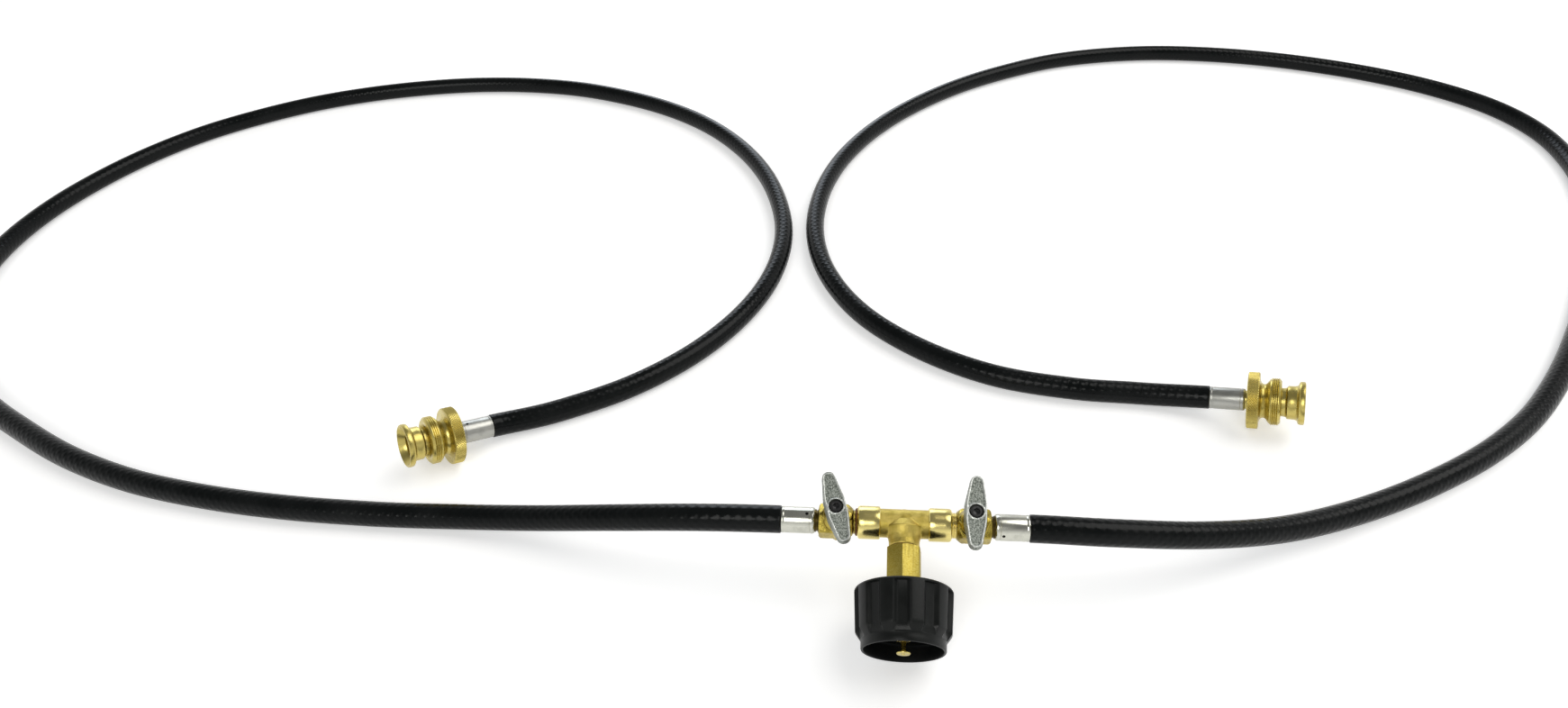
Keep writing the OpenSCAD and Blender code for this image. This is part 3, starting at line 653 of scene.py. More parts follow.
def makeNutThread():
    # coarse thread inside the mouth, one ridge wound round
    part = nutThread
    root = couplingNut["boreRadius"] + part["sunk"]
    middle = (part["crest"] + root) / 2
    clearBench()
    bpy.ops.mesh.primitive_plane_add(size=1)
    thread = justAdded("nut_inner_thread")
    openMesh(thread)
    bpy.ops.transform.rotate(value=math.radians(90), orient_axis="X", center_override=(0, 0, 0))
    bpy.ops.transform.resize(value=(root - part["crest"], 1, part["base"]), center_override=(0, 0, 0))
    bpy.ops.transform.translate(value=(middle, 0, 0))
    pick(lambda spot: spot.x < middle)
    bpy.ops.transform.resize(value=(1, 1, part["taper"]))
    bpy.ops.mesh.select_all(action="SELECT")
    bpy.ops.transform.translate(value=(0, 0, part["start"]))
    shutMesh()
    steps = int(part["stepsPerTurn"] * part["turns"])
    change(thread, "SCREW", angle=math.tau * part["turns"], screw_offset=part["pitch"] * part["turns"],
           steps=steps, render_steps=steps, use_normal_calculate=True)
    openMesh(thread)
    bpy.ops.mesh.select_mode(type="EDGE")
    bpy.ops.mesh.select_all(action="DESELECT")
    bpy.ops.mesh.select_non_manifold()
    bpy.ops.mesh.edge_face_add()
    closeUp()
    smooth(thread, 40)
    # the thread takes the same darker black: painted shade inside the mouth
    fitPiece(thread, tankSeat, "tank_nut", "nut_plastic", "coupling_nut", look="threadPlastic")


makeCouplingNut()
makeNutThread()
print("coupling nut made")


tankProbe = {"stem": 1.15, "collar": 3, "headRadius": 3.05, "headBack": 57, "headFront": 58.8}
tankNozzle = {"face": 52.4, "spout": 6.4, "flange": 9, "tail": 5.1, "back": 18.5, "bore": 3.4, "gasWay": 2.2}


def makeTankProbe():
    probe = tankProbe
    face, back, front = tankNozzle["face"], probe["headBack"], probe["headFront"]
    stem, collar = probe["stem"], probe["collar"]
    obj = turnSolid("tank_probe_pin", [
        (1.1, face - 16.5), (1.1, face - 5.1), (collar - 0.1, face - 5.1), (collar, face - 5), (collar, face - 3.2),
        (collar - 0.1, face - 3.1), (1.3, face - 3.1), (stem, face - 2.8), (stem, back - 0.1), (1.25, back + 0.1),
        (1.75, back + 0.4), (2.4, back + 0.64), (2.85, back + 0.77), (probe["headRadius"], back + 0.92),
        (3.03, back + 1.08), (2.8, back + 1.38), (2.55, back + 1.42), (0.8, back + 1.46), (0.72, back + 1.7),
        (0.5, front), (0.2, front)], 48)
    smooth(obj, 38)
    fitPiece(obj, tankSeat, "tank_probe", "turned_brass", "probe_pin", look="probeBrass")


def makeTankNozzle():
    part = tankNozzle
    face, back, spout = part["face"], part["back"], part["spout"]
    flange, tail, bore = part["flange"], part["tail"], part["bore"]
    obj = turnRing("tank_nozzle_spout", [
        (tail, back), (tail, 35.7), (flange - 0.4, 35.7), (flange, 36.1), (flange, 37.3), (flange - 0.4, 37.7),
        (6.7, 37.7), (spout, 38.1), (spout, 44.4), (6.33, 45.2), (4.75, face - 0.9), (4.5, face - 0.45),
        (4.2, face - 0.3), (3.65, face - 0.3), (bore, face - 0.5), (bore, face - 10.5),
        (part["gasWay"], face - 10.5), (part["gasWay"], back)], 72)
    smooth(obj, 40)
    fitPiece(obj, tankSeat, "gas_manifold", "turned_brass", "tank_nozzle", look="branchBrass")


makeTankProbe()
makeTankNozzle()
print("tank probe and nozzle made")


hexAdapter = {
    "flats": 14.5, "start": 11.6, "end": 28.3, "turn": 37, "edgeRound": 0.35,
    "gasWay": 2.5, "nozzleBore": 5.1, "nozzleFrom": 18.3,
    "compoundGrit": 0.28,
}


def makeHexAdapter():
    part = hexAdapter
    start, end = part["start"], part["end"]
    corner = part["flats"] / math.sqrt(3)
    obj = hexBar("hex_pipe_adapter", part["flats"], start, end, part["turn"], part["edgeRound"])
    blank = turnSolid("hexEnds", [
        (corner - 1.45, start), (corner - 1.2, start + 0.05), (corner + 0.3, start + 0.95),
        (corner + 0.3, end - 0.95), (corner - 1.2, end - 0.05), (corner - 1.45, end)], 120)
    combine(obj, blank, "INTERSECT")
    bore = turnSolid("hexBore", [(part["gasWay"], 5), (part["gasWay"], part["nozzleFrom"]),
                                 (part["nozzleBore"], part["nozzleFrom"]), (part["nozzleBore"], 30)], 64)
    combine(obj, bore, "DIFFERENCE")
    smooth(obj, 30)
    fitPiece(obj, tankSeat, "gas_manifold", "turned_brass", "hex_adapter", look="brushedBrass")

    # dark thread compound squeezed out where the adapter meets the tee
    compound = turnRing("adapter_thread_compound", [
        (5, 11.15), (6.3, 11.2), (6.75, 11.35), (6.85, 11.6), (6.7, 11.85), (6.2, 11.95), (5, 11.95)])
    roughen(compound, part["compoundGrit"])
    fitPiece(compound, tankSeat, "gas_manifold", "forged_brass", look="threadCompound")


makeHexAdapter()
print("hex adapter made")


teeBody = {
    "castRadius": 6.45, "castReach": 14, "heartRadius": 6.55, "branchRadius": 6.85, "branchReach": 11.5,
    "bandRadius": 7.5, "bandIn": 10.9, "bandOut": 21.3,
    "voxel": 0.3, "soften": 4, "grit": 0.04, "compoundGrit": 0.3,
}


def makeTeeCasting():
    tee = teeBody
    r, reach, branchR = tee["castRadius"], tee["castReach"], tee["branchRadius"]
    run = turnSolid("tee_casting", [(r - 0.3, -reach), (r, 0.5 - reach), (r, reach - 0.5), (r - 0.3, reach)])
    turnAbout(run, "y", 90)
    branch = turnSolid("teeBranch", [
        (branchR + 0.1, 0), (branchR + 2.2, 3.4), (branchR + 1.5, 4.6), (branchR + 0.55, 6.6), (branchR + 0.1, 8.6),
        (branchR, 10.9), (branchR - 0.15, 11.3), (branchR - 0.5, tee["branchReach"])])
    clearBench()
    bpy.ops.mesh.primitive_uv_sphere_add(segments=48, ring_count=24, radius=tee["heartRadius"])
    heart = justAdded("teeHeart")
    combine(run, branch, "UNION")
    combine(run, heart, "UNION")
    melt(run, tee)
    roughen(run, tee["grit"])
    fitPiece(run, tankSeat, "gas_manifold", "forged_brass", "tee_body", look="forgedBrass")


def makeTeeBands():
    # machined bands at both ends of the run
    r, near, far = teeBody["bandRadius"], teeBody["bandIn"], teeBody["bandOut"]
    for side in bothSides:
        band = turnRing(side + "_tee_band", [
            (5.02, near + 0.3), (6.2, near + 0.05), (6.75, near), (r - 0.42, near), (r - 0.12, near + 0.3),
            (r, near + 0.75), (r, near + 3), (r, far - 3.4), (r, far - 1.3), (r - 0.18, far - 0.75),
            (r - 0.6, far - 0.3), (r - 1.3, far), (5.6, far), (5.02, far - 0.5)], 120)
        smooth(band, 24)
        fitPiece(band, runSeat[side], "gas_manifold", "forged_brass", "tee_body", look="runBrass")
    # compound squeezed out at the left joint, bare thread ridges at the right one
    ring = turnRing("left_thread_compound", [
        (4.8, far - 0.2), (5.3, far - 0.1), (6.1, far - 0.05), (6.3, far + 0.25), (6.1, far + 0.6), (5.5, far + 0.95),
        (4.8, far + 0.9)])
    roughen(ring, teeBody["compoundGrit"])
    fitPiece(ring, runSeat["left"], "gas_manifold", "forged_brass", look="threadCompound")
    ridges = turnRing("right_thread_ridges", [
        (4.8, far - 0.1), (5.85, far + 0.05), (5.85, far + 0.3), (5.45, far + 0.5), (5.45, far + 0.62),
        (5.85, far + 0.85), (5.85, far + 1.1), (5.45, far + 1.3), (5.45, far + 1.42), (5.75, far + 1.6),
        (5.75, far + 1.8), (4.8, far + 2.0)])
    smooth(ridges, 30)
    fitPiece(ridges, runSeat["right"], "gas_manifold", "forged_brass", look="runBrass")


makeTeeCasting()
makeTeeBands()
print("tee made")


valveBody = {
    "flats": 14, "barrelIn": -7.4, "barrelOut": 8.1, "edgeRound": 0.5,
    "neckRadius": 5.3, "neckIn": -9.2,
    "block": 11.4, "blockTop": 8.4, "blockDrop": 4, "blockEdge": 0.6, "blockRadius": 8.6,
    "bossRadius": 4.7, "bossTop": 12.2,
    "lugRadius": 0.75, "lugReach": 3.6, "lugWay": {"left": 1, "right": -1},
    "voxel": 0.27, "soften": 3, "grit": 0.06,
}


def makeValveBody(side):
    valve = valveBody
    near, far, neck = valve["barrelIn"], valve["barrelOut"], valve["neckRadius"]
    corner = valve["flats"] / math.sqrt(3)
    barrel = hexBar(side + "_valve_casting", valve["flats"], near, far, 0, valve["edgeRound"])
    blank = turnSolid("barrelEnds", [
        (neck + 0.4, near), (neck + 0.9, near + 0.15), (corner + 0.3, near + 3),
        (corner + 0.3, far - 1.7), (corner - 0.2, far - 0.75), (corner - 0.9, far - 0.15), (corner - 1.35, far)], 120)
    combine(barrel, blank, "INTERSECT")
    combine(barrel, turnSolid("valveNeck", [(neck, valve["neckIn"]), (neck, near + 1)], 72), "UNION")
    turnAbout(barrel, "y", 90)           # along X, the way the gas goes

    # square block across the barrel, on its corner and rounded like the barrel
    clearBench()
    bpy.ops.mesh.primitive_cube_add(size=valve["block"], location=(0, 0, valve["blockTop"] - valve["block"] / 2),
                                    rotation=(0, 0, math.radians(45)))
    block = justAdded("valveBlock")
    openMesh(block)
    pick(lambda middle, normal: normal.z < -0.9, "FACE")
    bpy.ops.transform.translate(value=(0, 0, -valve["blockDrop"]))
    shutMesh()
    breakEdges(block, valve["blockEdge"])
    r = valve["blockRadius"]
    rounding = turnSolid("blockRounding", [(r - 0.3, near + 0.5), (r, near + 0.9), (r, far - 0.9),
                                           (r - 0.3, far - 0.5)])
    turnAbout(rounding, "y", 90)
    combine(block, rounding, "INTERSECT")
    boss = turnSolid("valveBoss", [(6.8, 3), (6.8, 6), (6.5, 6.9), (5.1, 9.8), (4.78, 10.6),
                                   (valve["bossRadius"], 11.2), (valve["bossRadius"], 11.9),
                                   (4.4, valve["bossTop"])])
    combine(barrel, block, "UNION")
    combine(barrel, boss, "UNION")
    lug = turnSolid("stopLug", [(valve["lugRadius"], 10), (valve["lugRadius"], 13.2), (0.5, 13.4)], 32)
    lug.location.y = valve["lugWay"][side] * valve["lugReach"]
    applyPlace(lug)
    combine(barrel, lug, "UNION")
    melt(barrel, valve)
    roughen(barrel, valve["grit"])
    fitPiece(barrel, (stemSpot[side], leverAxis, outward[side]), "gas_manifold", "forged_brass",
             side + "_valve_body", look="valveBrass")


valveTail = {
    "flange": 5.6, "groove": 4.75, "land": 5.1, "end": 24,
    "barbRadius": 3.3, "barbRoot": 2.8, "barbs": 4, "firstBarb": 13.4, "barbPitch": 2.4,
}


def makeValveTail(side):
    # brass tail between the valve and the ferrule, coloured dark brown as painted shade in the gap between them
    part = valveTail
    flange, groove, land = part["flange"], part["groove"], part["land"]
    barb, root = part["barbRadius"], part["barbRoot"]
    profile = [(flange, 7.4), (flange, 8.3), (5.25, 8.45), (groove, 8.6), (groove, 9.2), (land, 9.35), (land, 10.2),
               (barb, 10.4), (barb, 11.5)]
    for i in range(part["barbs"]):
        at = part["firstBarb"] + i * part["barbPitch"]
        profile += [(root, at), (barb, at + 0.1)]
    tail = turnSolid(side + "_valve_tail", profile + [(root, part["end"])], 64)
    smooth(tail, 35)
    fitPiece(tail, (stemSpot[side], outward[side], leverAxis), "gas_manifold", "turned_brass",
             side + "_tailpiece", look="oiledBrass")


for side in bothSides:
    makeValveBody(side)
    makeValveTail(side)
print("valve bodies made")


valveLever = {
    "length": 33.4, "width": 9, "endWidth": 5.8, "thick": 6, "endThick": 3.2, "base": 12.6, "draft": 0.55,
    "cornerReach": 3.8, "rim": 0.75, "fieldDepth": 0.3, "recessRadius": 3.25, "recessDepth": 2.4,
    "slotReach": 3.6, "slotWidth": 2.1, "slotHeight": 2.4, "slotAngle": 124,
    "slotMiddle": {"left": 225, "right": -45},      # degrees from X
    "voxel": 0.2, "soften": 3,
    "skin": 0.32, "pitSize": 0.55, "pitMiddle": 0.62, "wallShare": 0.45, "rimShare": 0.04,
    "angle": {"left": 16, "right": 3},              # degrees from square to the run
}

leverTop = valveLever["base"] + valveLever["thick"]


def leverSeat(side):
    tilt = math.radians(valveLever["angle"][side])
    lengthwise = outward[side] * math.sin(tilt) - tankAxis * math.cos(tilt)
    return stemSpot[side], leverAxis, lengthwise.cross(leverAxis)


def leverBlank(name):
    # rings of corners at both ends and beside the middle, wrapped in one skin
    lever = valveLever
    atEnds = ((lever["length"] - lever["endWidth"]) / 2, lever["endWidth"] / 2, lever["endThick"])
    atMiddle = (lever["cornerReach"], lever["width"] / 2, lever["thick"])
    rings = []
    for way in (-1, 1):
        for reach, radius, thick in (atEnds, atMiddle):
            for height, grow in ((leverTop, 0), (leverTop - thick, lever["draft"] * thick / lever["thick"])):
                bpy.ops.mesh.primitive_circle_add(vertices=40, radius=radius + grow,
                                                  location=(0, way * reach, height))
                rings.append(bpy.context.object)
    hold(*rings)
    bpy.ops.object.join()
    obj = justAdded(name)
    openMesh(obj)
    bpy.ops.mesh.select_all(action="SELECT")
    bpy.ops.mesh.convex_hull(delete_unused=True, use_existing_faces=False, join_triangles=False)
    bpy.ops.mesh.select_all(action="SELECT")
    bpy.ops.mesh.dissolve_limited(angle_limit=math.radians(1))
    # a smooth rim stands round the sunken rough field
    pick(lambda middle, normal: normal.z > 0.99, "FACE")
    bpy.ops.mesh.inset(thickness=lever["rim"])
    bpy.ops.mesh.extrude_region_move(TRANSFORM_OT_translate={"value": (0, 0, -lever["fieldDepth"])})
    bpy.ops.mesh.inset(thickness=0.12)
    shutMesh()
    return obj


def leverSlot(side):
    # the curved slot underneath that the stop lug runs in
    lever = valveLever
    reach, base = lever["slotReach"], lever["base"]
    clearBench()
    bpy.ops.mesh.primitive_plane_add(size=1, location=(reach, 0, base + 0.15), rotation=(math.radians(90), 0, 0))
    slotCut = justAdded("leverSlot")
    openMesh(slotCut)
    bpy.ops.mesh.select_all(action="SELECT")
    bpy.ops.transform.resize(value=(lever["slotWidth"], 1, lever["slotHeight"]), center_override=(reach, 0, base))
    bpy.ops.mesh.spin(steps=32, angle=math.radians(lever["slotAngle"]), center=(0, 0, 0), axis=(0, 0, 1))
    closeUp()
    corners = [vert.co for vert in slotCut.data.vertices]
    turned = math.degrees(math.atan2(sum(co.y for co in corners), sum(co.x for co in corners)))
    turnAbout(slotCut, "z", lever["slotMiddle"][side] - turned)
    return slotCut


def makeValveLever(side):
    lever = valveLever
    recess, seat = lever["recessRadius"], leverTop - lever["recessDepth"]
    obj = leverBlank(side + "_lever_casting")
    collar = turnSolid("screwCollar", [(recess + 0.62, leverTop - 1), (recess + 0.62, leverTop - 0.1),
                                       (recess + 0.5, leverTop)], 72)
    combine(obj, collar, "UNION")
    hole = turnSolid("screwRecess", [(1.5, lever["base"] - 1), (1.5, seat), (recess, seat),
                                     (recess, leverTop + 1)], 72)
    combine(obj, hole, "DIFFERENCE")
    combine(obj, leverSlot(side), "DIFFERENCE")
    melt(obj, lever)

    # the rough skin of the casting: pits on the field, less on the walls
    skin = obj.vertex_groups.new(name="castSkin")
    for vert in obj.data.vertices:
        spot = vert.co
        pastCollar = spot.xy.length > recess + 0.9
        field = pastCollar and abs(spot.z - (leverTop - lever["fieldDepth"])) < 0.14
        wall = pastCollar and spot.z < leverTop - 0.7
        skin.add([vert.index], 1 if field else lever["wallShare"] if wall else lever["rimShare"], "REPLACE")
    pits = bpy.data.textures.new(side + "Pits", "CLOUDS")
    pits.noise_scale = lever["pitSize"]
    pits.noise_depth = 3
    change(obj, "DISPLACE", texture=pits, strength=lever["skin"], mid_level=lever["pitMiddle"],
           vertex_group="castSkin", texture_coords="LOCAL")
    smooth(obj, 60)
    obj.vertex_groups.clear()
    fitPiece(obj, leverSeat(side), side + "_lever_set", "cast_aluminium", side + "_lever",
             look=("castAluminium", "rimAluminium"))
    for face in obj.data.polygons:
        rise = (face.center - stemSpot[side]).dot(leverAxis) / millimetre
        if rise > leverTop - 0.16 and face.normal.dot(leverAxis) > 0.2:
            face.material_index = 1


socketScrew = {
    "radius": 2.75, "height": 2.1, "shank": 1.2, "shankEnd": 9.4, "edgeRound": 0.09,
    "hexagon": 2.5, "socketFloor": 0.7, "socketReach": 3, "coneDepth": 0.25, "coneShare": 0.3,
}


def makeSocketScrew(side):
    # black socket screw down in the lever's recess
    part = socketScrew
    seat = leverTop - valveLever["recessDepth"]
    r, shank, top = part["radius"], part["shank"], seat + part["height"]
    screw = turnSolid(side + "_socket_screw", [
        (shank, part["shankEnd"]), (shank, seat), (r - 0.4, seat), (r - 0.2, seat + 0.12), (r, seat + 0.45),
        (r, seat + 1.6), (2.66, seat + 1.9), (2.45, seat + 2.08), (1.95, top)], 64)
    clearBench()
    bpy.ops.mesh.primitive_cylinder_add(vertices=6, radius=part["hexagon"] / math.sqrt(3), depth=part["socketReach"],
                                        location=(0, 0, seat + part["socketFloor"] + part["socketReach"] / 2))
    socket = justAdded("socketCut")
    openMesh(socket)
    pick(lambda middle, normal: normal.z < -0.9, "FACE")
    bpy.ops.mesh.inset(thickness=0.25)
    bpy.ops.mesh.extrude_region_move(TRANSFORM_OT_translate={"value": (0, 0, -part["coneDepth"])})
    bpy.ops.transform.resize(value=(part["coneShare"], part["coneShare"], 1))
    shutMesh()
    combine(screw, socket, "DIFFERENCE")
    breakEdges(screw, part["edgeRound"])
    smooth(screw, 35)
    fitPiece(screw, leverSeat(side), side + "_lever_set", "black_steel", side + "_lever_screw", look="blackSteel")


for side in bothSides:
    makeValveLever(side)
    makeSocketScrew(side)
print("levers and screws made")


crimpFerrule = {
    "radius": 6, "wall": 0.5, "inletLength": 15.2, "outletLength": 17.6,
    "inletStart": 9.8, "outletStart": 4,               # from the stem, and back from the outlet's flange
    "holeRadius": 0.55, "inletHole": 3.6, "outletHole": 4.2,
    "holeTurn": {"left": 8, "right": 62},              # up on the left and forward on the right
}


def makeFerrule(name, length, holeAt, holeTurn):
    # drawn from its turned-in end at the fitting to its bead at the hose
    r = crimpFerrule["radius"]
    inner = r - crimpFerrule["wall"]
    obj = turnRing(name, [
        (5.1, 0), (5.25, -0.02), (5.5, 0.08), (5.8, 0.35), (r - 0.04, 0.75), (r, 1.2), (r, 2.0), (r - 0.14, 2.15),
        (r - 0.14, 2.35), (r, 2.5), (r - 0.02, length - 1.9), (r - 0.1, length - 1.5), (r - 0.1, length - 1.1),
        (r, length - 0.85), (r, length - 0.35), (r - 0.1, length - 0.08), (r - 0.28, length),
        (r - 0.42, length - 0.1), (inner, length - 0.4), (inner, 0.9), (5.1, 0.7)])
    clearBench()
    bpy.ops.mesh.primitive_cylinder_add(vertices=20, radius=crimpFerrule["holeRadius"], depth=1.6,
                                        location=(r - 0.3, 0, holeAt), rotation=(0, math.radians(90), 0))
    drill = justAdded("ferruleDrill")
    openMesh(drill)
    pick(lambda middle, normal: normal.x > 0.9, "FACE")
    bpy.ops.transform.resize(value=(1, 1.5, 1.5))
    shutMesh()
    turnAbout(drill, "z", holeTurn)
    combine(obj, drill, "DIFFERENCE")
    smooth(obj, 30)
    return obj


def makeFerrules(side):
    part = crimpFerrule
    holeTurn = part["holeTurn"][side]
    inlet = makeFerrule(side + "_inlet_crimp_ferrule", part["inletLength"], part["inletHole"], holeTurn)
    start = stemSpot[side] + outward[side] * part["inletStart"] * millimetre
    fitPiece(inlet, (start, outward[side], leverAxis), "gas_manifold", "plated_steel", side + "_inlet_ferrule",
             look="platedSteel")
    outlet = makeFerrule(side + "_outlet_crimp_ferrule", part["outletLength"], part["outletHole"], holeTurn + 90)
    back = outletAxis[side] * -1
    start = outletSpot[side] + back * part["outletStart"] * millimetre
    fitPiece(outlet, (start, back, levelSide[side] * -1), "gas_manifold", "plated_steel", side + "_outlet_ferrule",
             look="dullSteel")


for side in bothSides:
    makeFerrules(side)
print("ferrules made")


swivelCollar = {
    "flangeRadius": 15.3, "waistRadius": 9.1,
    "threadRadius": 12.7, "threadDepth": 0.5, "threads": 4, "threadFrom": 8.7,
    "knurlColumns": 144, "knurlRows": 8, "knurlDepth": 0.38, "knurlHalf": 2.4,
}


def makeSwivelCollar():
    part = swivelCollar
    r, half, crest = part["flangeRadius"], part["knurlHalf"], part["threadRadius"]
    root = crest - part["threadDepth"]
    rise = 2 * half / part["knurlRows"]
    rim = [(r, -half + 2 * half * row / part["knurlRows"]) for row in range(part["knurlRows"] + 1)]
    threads = []
    for turn in range(part["threads"]):
        at = part["threadFrom"] + turn
        threads += [(root, at), (crest, at + 0.32), (crest, at + 0.62)]
    threads.append((root, part["threadFrom"] + part["threads"]))
    profile = [(5.06, -3), (5.5, -3), (9.5, -3), (9.7, -2.85), (13.9, -2.85), (14.1, -3), (14.3, -3), (14.7, -2.88),
               (14.98, -2.68), *rim, (14.98, 2.68), (14.7, 2.88), (14.3, 3), (13.9, 2.98), (12.6, 3.02), (10.9, 3.3),
               (9.9, 3.75), (9.35, 4.4), (part["waistRadius"], 5.1), (9.3, 5.9), (9.9, 6.6), (10.7, 7.05),
               (11.6, 7.7), (12.0, 8.1), (12.15, 8.45), *threads, (12.0, 12.95), (11.6, 13.3), (11.1, 13.55),
               (10.8, 13.6), (9.5, 13.6), (9.2, 13.5), (8.1, 12.4), (7.9, 12.0), (7.9, 2), (5.06, 2)]
    obj = turnRing("swivelCollar", profile, part["knurlColumns"])

    def isValley(spot):
        # every other corner of the rim, which leaves rows of small diamonds
        if abs(spot.xy.length - r) > 0.02 or abs(spot.z) > half + 0.01:
            return False
        column = round(math.atan2(spot.y, spot.x) / (math.tau / part["knurlColumns"]))
        row = round((spot.z + half) / rise)
        return (column + row) % 2 == 1

    openMesh(obj)
    pick(isValley)
    share = (r - part["knurlDepth"]) / r
    bpy.ops.transform.resize(value=(share, share, 1), center_override=(0, 0, 0))
    pick(lambda middle, normal: middle.xy.length > r - 0.4 and abs(middle.z) < half, "FACE")
    bpy.ops.mesh.quads_convert_to_tris(quad_method="SHORTEST_DIAGONAL", ngon_method="BEAUTY")
    shutMesh()
    smooth(obj, 24)
    return obj


cupNozzle = {
    "cupRadius": 8.9, "lipRadius": 11.5, "lipFront": 25, "seatRadius": 8, "seatFloor": 17, "gasWay": 2,
    "barbRadius": 3.3, "barbs": 6, "firstBarb": -20.6, "barbPitch": 2.4,
}


def makeCupNozzle():
    part = cupNozzle
    lip, front, cup = part["lipRadius"], part["lipFront"], part["cupRadius"]
    seat, floor, way, barb = part["seatRadius"], part["seatFloor"], part["gasWay"], part["barbRadius"]
    profile = [(way, -21.6), (2.8, -21.4)]
    for i in range(part["barbs"]):
        at = part["firstBarb"] + i * part["barbPitch"]
        profile += [(barb, at), (2.85, at + 2.3)]
    profile += [(barb, -5.4), (barb, -3.9), (5, -3.9), (5, 2.05), (7.6, 2.05), (7.6, 14.4), (7.7, 15.6), (8.1, 16.2),
                (8.5, 16.4), (8.75, 16.55), (cup, 16.95), (8.92, 18.5), (8.97, 20), (9.15, 20.9), (9.6, 21.4),
                (10.5, 21.75), (11.1, 22.05), (lip - 0.1, 22.45), (lip, 22.9), (lip, 24.1), (lip - 0.12, 24.6),
                (lip - 0.4, 24.9), (lip - 0.75, front), (lip - 1.0, front - 0.03), (10.15, front - 0.45),
                (9.1, front - 1.8), (8.35, front - 2.7), (seat, front - 3.4), (seat, floor + 0.5), (7.7, floor + 0.1),
                (7.3, floor), (5.0, floor), (4.5, floor - 0.1), (2.3, floor - 2.2), (way, floor - 2.6)]
    obj = turnRing("cupNozzle", profile, 120)
    smooth(obj, 26)
    return obj


def makeOutlets():
    for model, name, node in ((makeSwivelCollar(), "_swivel_nut", "_swivel_collar"),
                              (makeCupNozzle(), "_cup_nozzle", "_outlet_nozzle")):
        # a twin with a mesh of its own is kept for the other side
        hold(model)
        bpy.ops.object.duplicate()
        for side, obj in (("left", model), ("right", bpy.context.object)):
            obj.name = side + name
            body = side + "_swivel" if name == "_swivel_nut" else "gas_manifold"
            fitPiece(obj, (outletSpot[side], outletAxis[side], levelSide[side]), body, "turned_brass", side + node,
                     look=side + "OutletBrass")


makeOutlets()
print("outlets made")


hoseMake = {
    "diameter": 0.0127,
    "sides": 28,
    "stepsBetweenPoints": 8,
    "endRound": 0.0006,
    "floorGap": 0.00005,
    "valveToHose": 0.025,        # from a stem to the end of its hose
    "flangeToHose": 0.0216,      # from an outlet's flange to the end of its hose
    "laidHeight": 0.0064,
}

# middle lines from valve to outlet: down to the floor, along it, and up to the fitting
hoseRoutes = {
    "left": {
        "falling": [(-0.095, 0.0255, 0.034), (-0.137, 0.031, 0.025), (-0.180, 0.038, 0.014), (-0.222, 0.042, 0.008)],
        "laid": [
            (-0.266, 0.043), (-0.312, 0.045), (-0.358, 0.050), (-0.404, 0.059), (-0.449, 0.074), (-0.491, 0.094),
            (-0.532, 0.117), (-0.570, 0.147), (-0.600, 0.184), (-0.621, 0.227), (-0.632, 0.272), (-0.632, 0.318),
            (-0.622, 0.363), (-0.604, 0.405), (-0.578, 0.443), (-0.545, 0.474), (-0.507, 0.500), (-0.465, 0.519),
            (-0.420, 0.532), (-0.374, 0.539), (-0.327, 0.539), (-0.281, 0.532), (-0.237, 0.517), (-0.196, 0.496),
            (-0.159, 0.468), (-0.128, 0.433), (-0.104, 0.393), (-0.088, 0.350), (-0.080, 0.305), (-0.083, 0.259),
            (-0.097, 0.216), (-0.122, 0.176), (-0.155, 0.144),
        ],
        "rising": [(-0.193, 0.121, 0.0066)],
    },
    "right": {
        "falling": [(0.095, 0.0255, 0.034), (0.138, 0.034, 0.025), (0.181, 0.049, 0.014), (0.222, 0.067, 0.008)],
        "laid": [
            (0.262, 0.087), (0.300, 0.110), (0.335, 0.138), (0.366, 0.172), (0.394, 0.209), (0.420, 0.248),
            (0.444, 0.289), (0.466, 0.331), (0.484, 0.375), (0.495, 0.421), (0.495, 0.467), (0.479, 0.509),
            (0.447, 0.544), (0.408, 0.570), (0.364, 0.590), (0.319, 0.604), (0.273, 0.612), (0.227, 0.614),
            (0.181, 0.608), (0.137, 0.595), (0.095, 0.573), (0.057, 0.547), (0.022, 0.515), (-0.008, 0.479),
            (-0.032, 0.439), (-0.049, 0.396), (-0.058, 0.350), (-0.058, 0.304), (-0.047, 0.259), (-0.024, 0.218),
            (0.010, 0.186), (0.052, 0.163), (0.097, 0.153),
        ],
        "rising": [(0.138, 0.150, 0.0066)],
    },
}


def smoothLine(points, firstWay, lastWay):
    # curve through the points, straight out of the fitting at each end
    ways = [firstWay]
    for i in range(1, len(points) - 1):
        ways.append((points[i + 1] - points[i - 1]).normalized())
    ways.append(lastWay)
    line = [points[0]]
    for i in range(len(points) - 1):
        reach = (points[i + 1] - points[i]).length / 3
        stretch = interpolate_bezier(points[i], points[i] + ways[i] * reach,
                                     points[i + 1] - ways[i + 1] * reach, points[i + 1],
                                     hoseMake["stepsBetweenPoints"] + 1)
        line.extend(stretch[1:])
    return line


def hoseLine(side):
    route = hoseRoutes[side]
    start = stemSpot[side] + outward[side] * hoseMake["valveToHose"]
    end = outletSpot[side] - outletAxis[side] * hoseMake["flangeToHose"]
    laid = [(x, y, hoseMake["laidHeight"]) for x, y in route["laid"]]
    points = [Vector(point) for point in route["falling"] + laid + route["rising"]]
    line = smoothLine([start] + points + [end], outward[side], outletAxis[side])
    for point in line:
        point.z = max(point.z, hoseMake["diameter"] / 2 + hoseMake["floorGap"])     # never in the floor
    return line


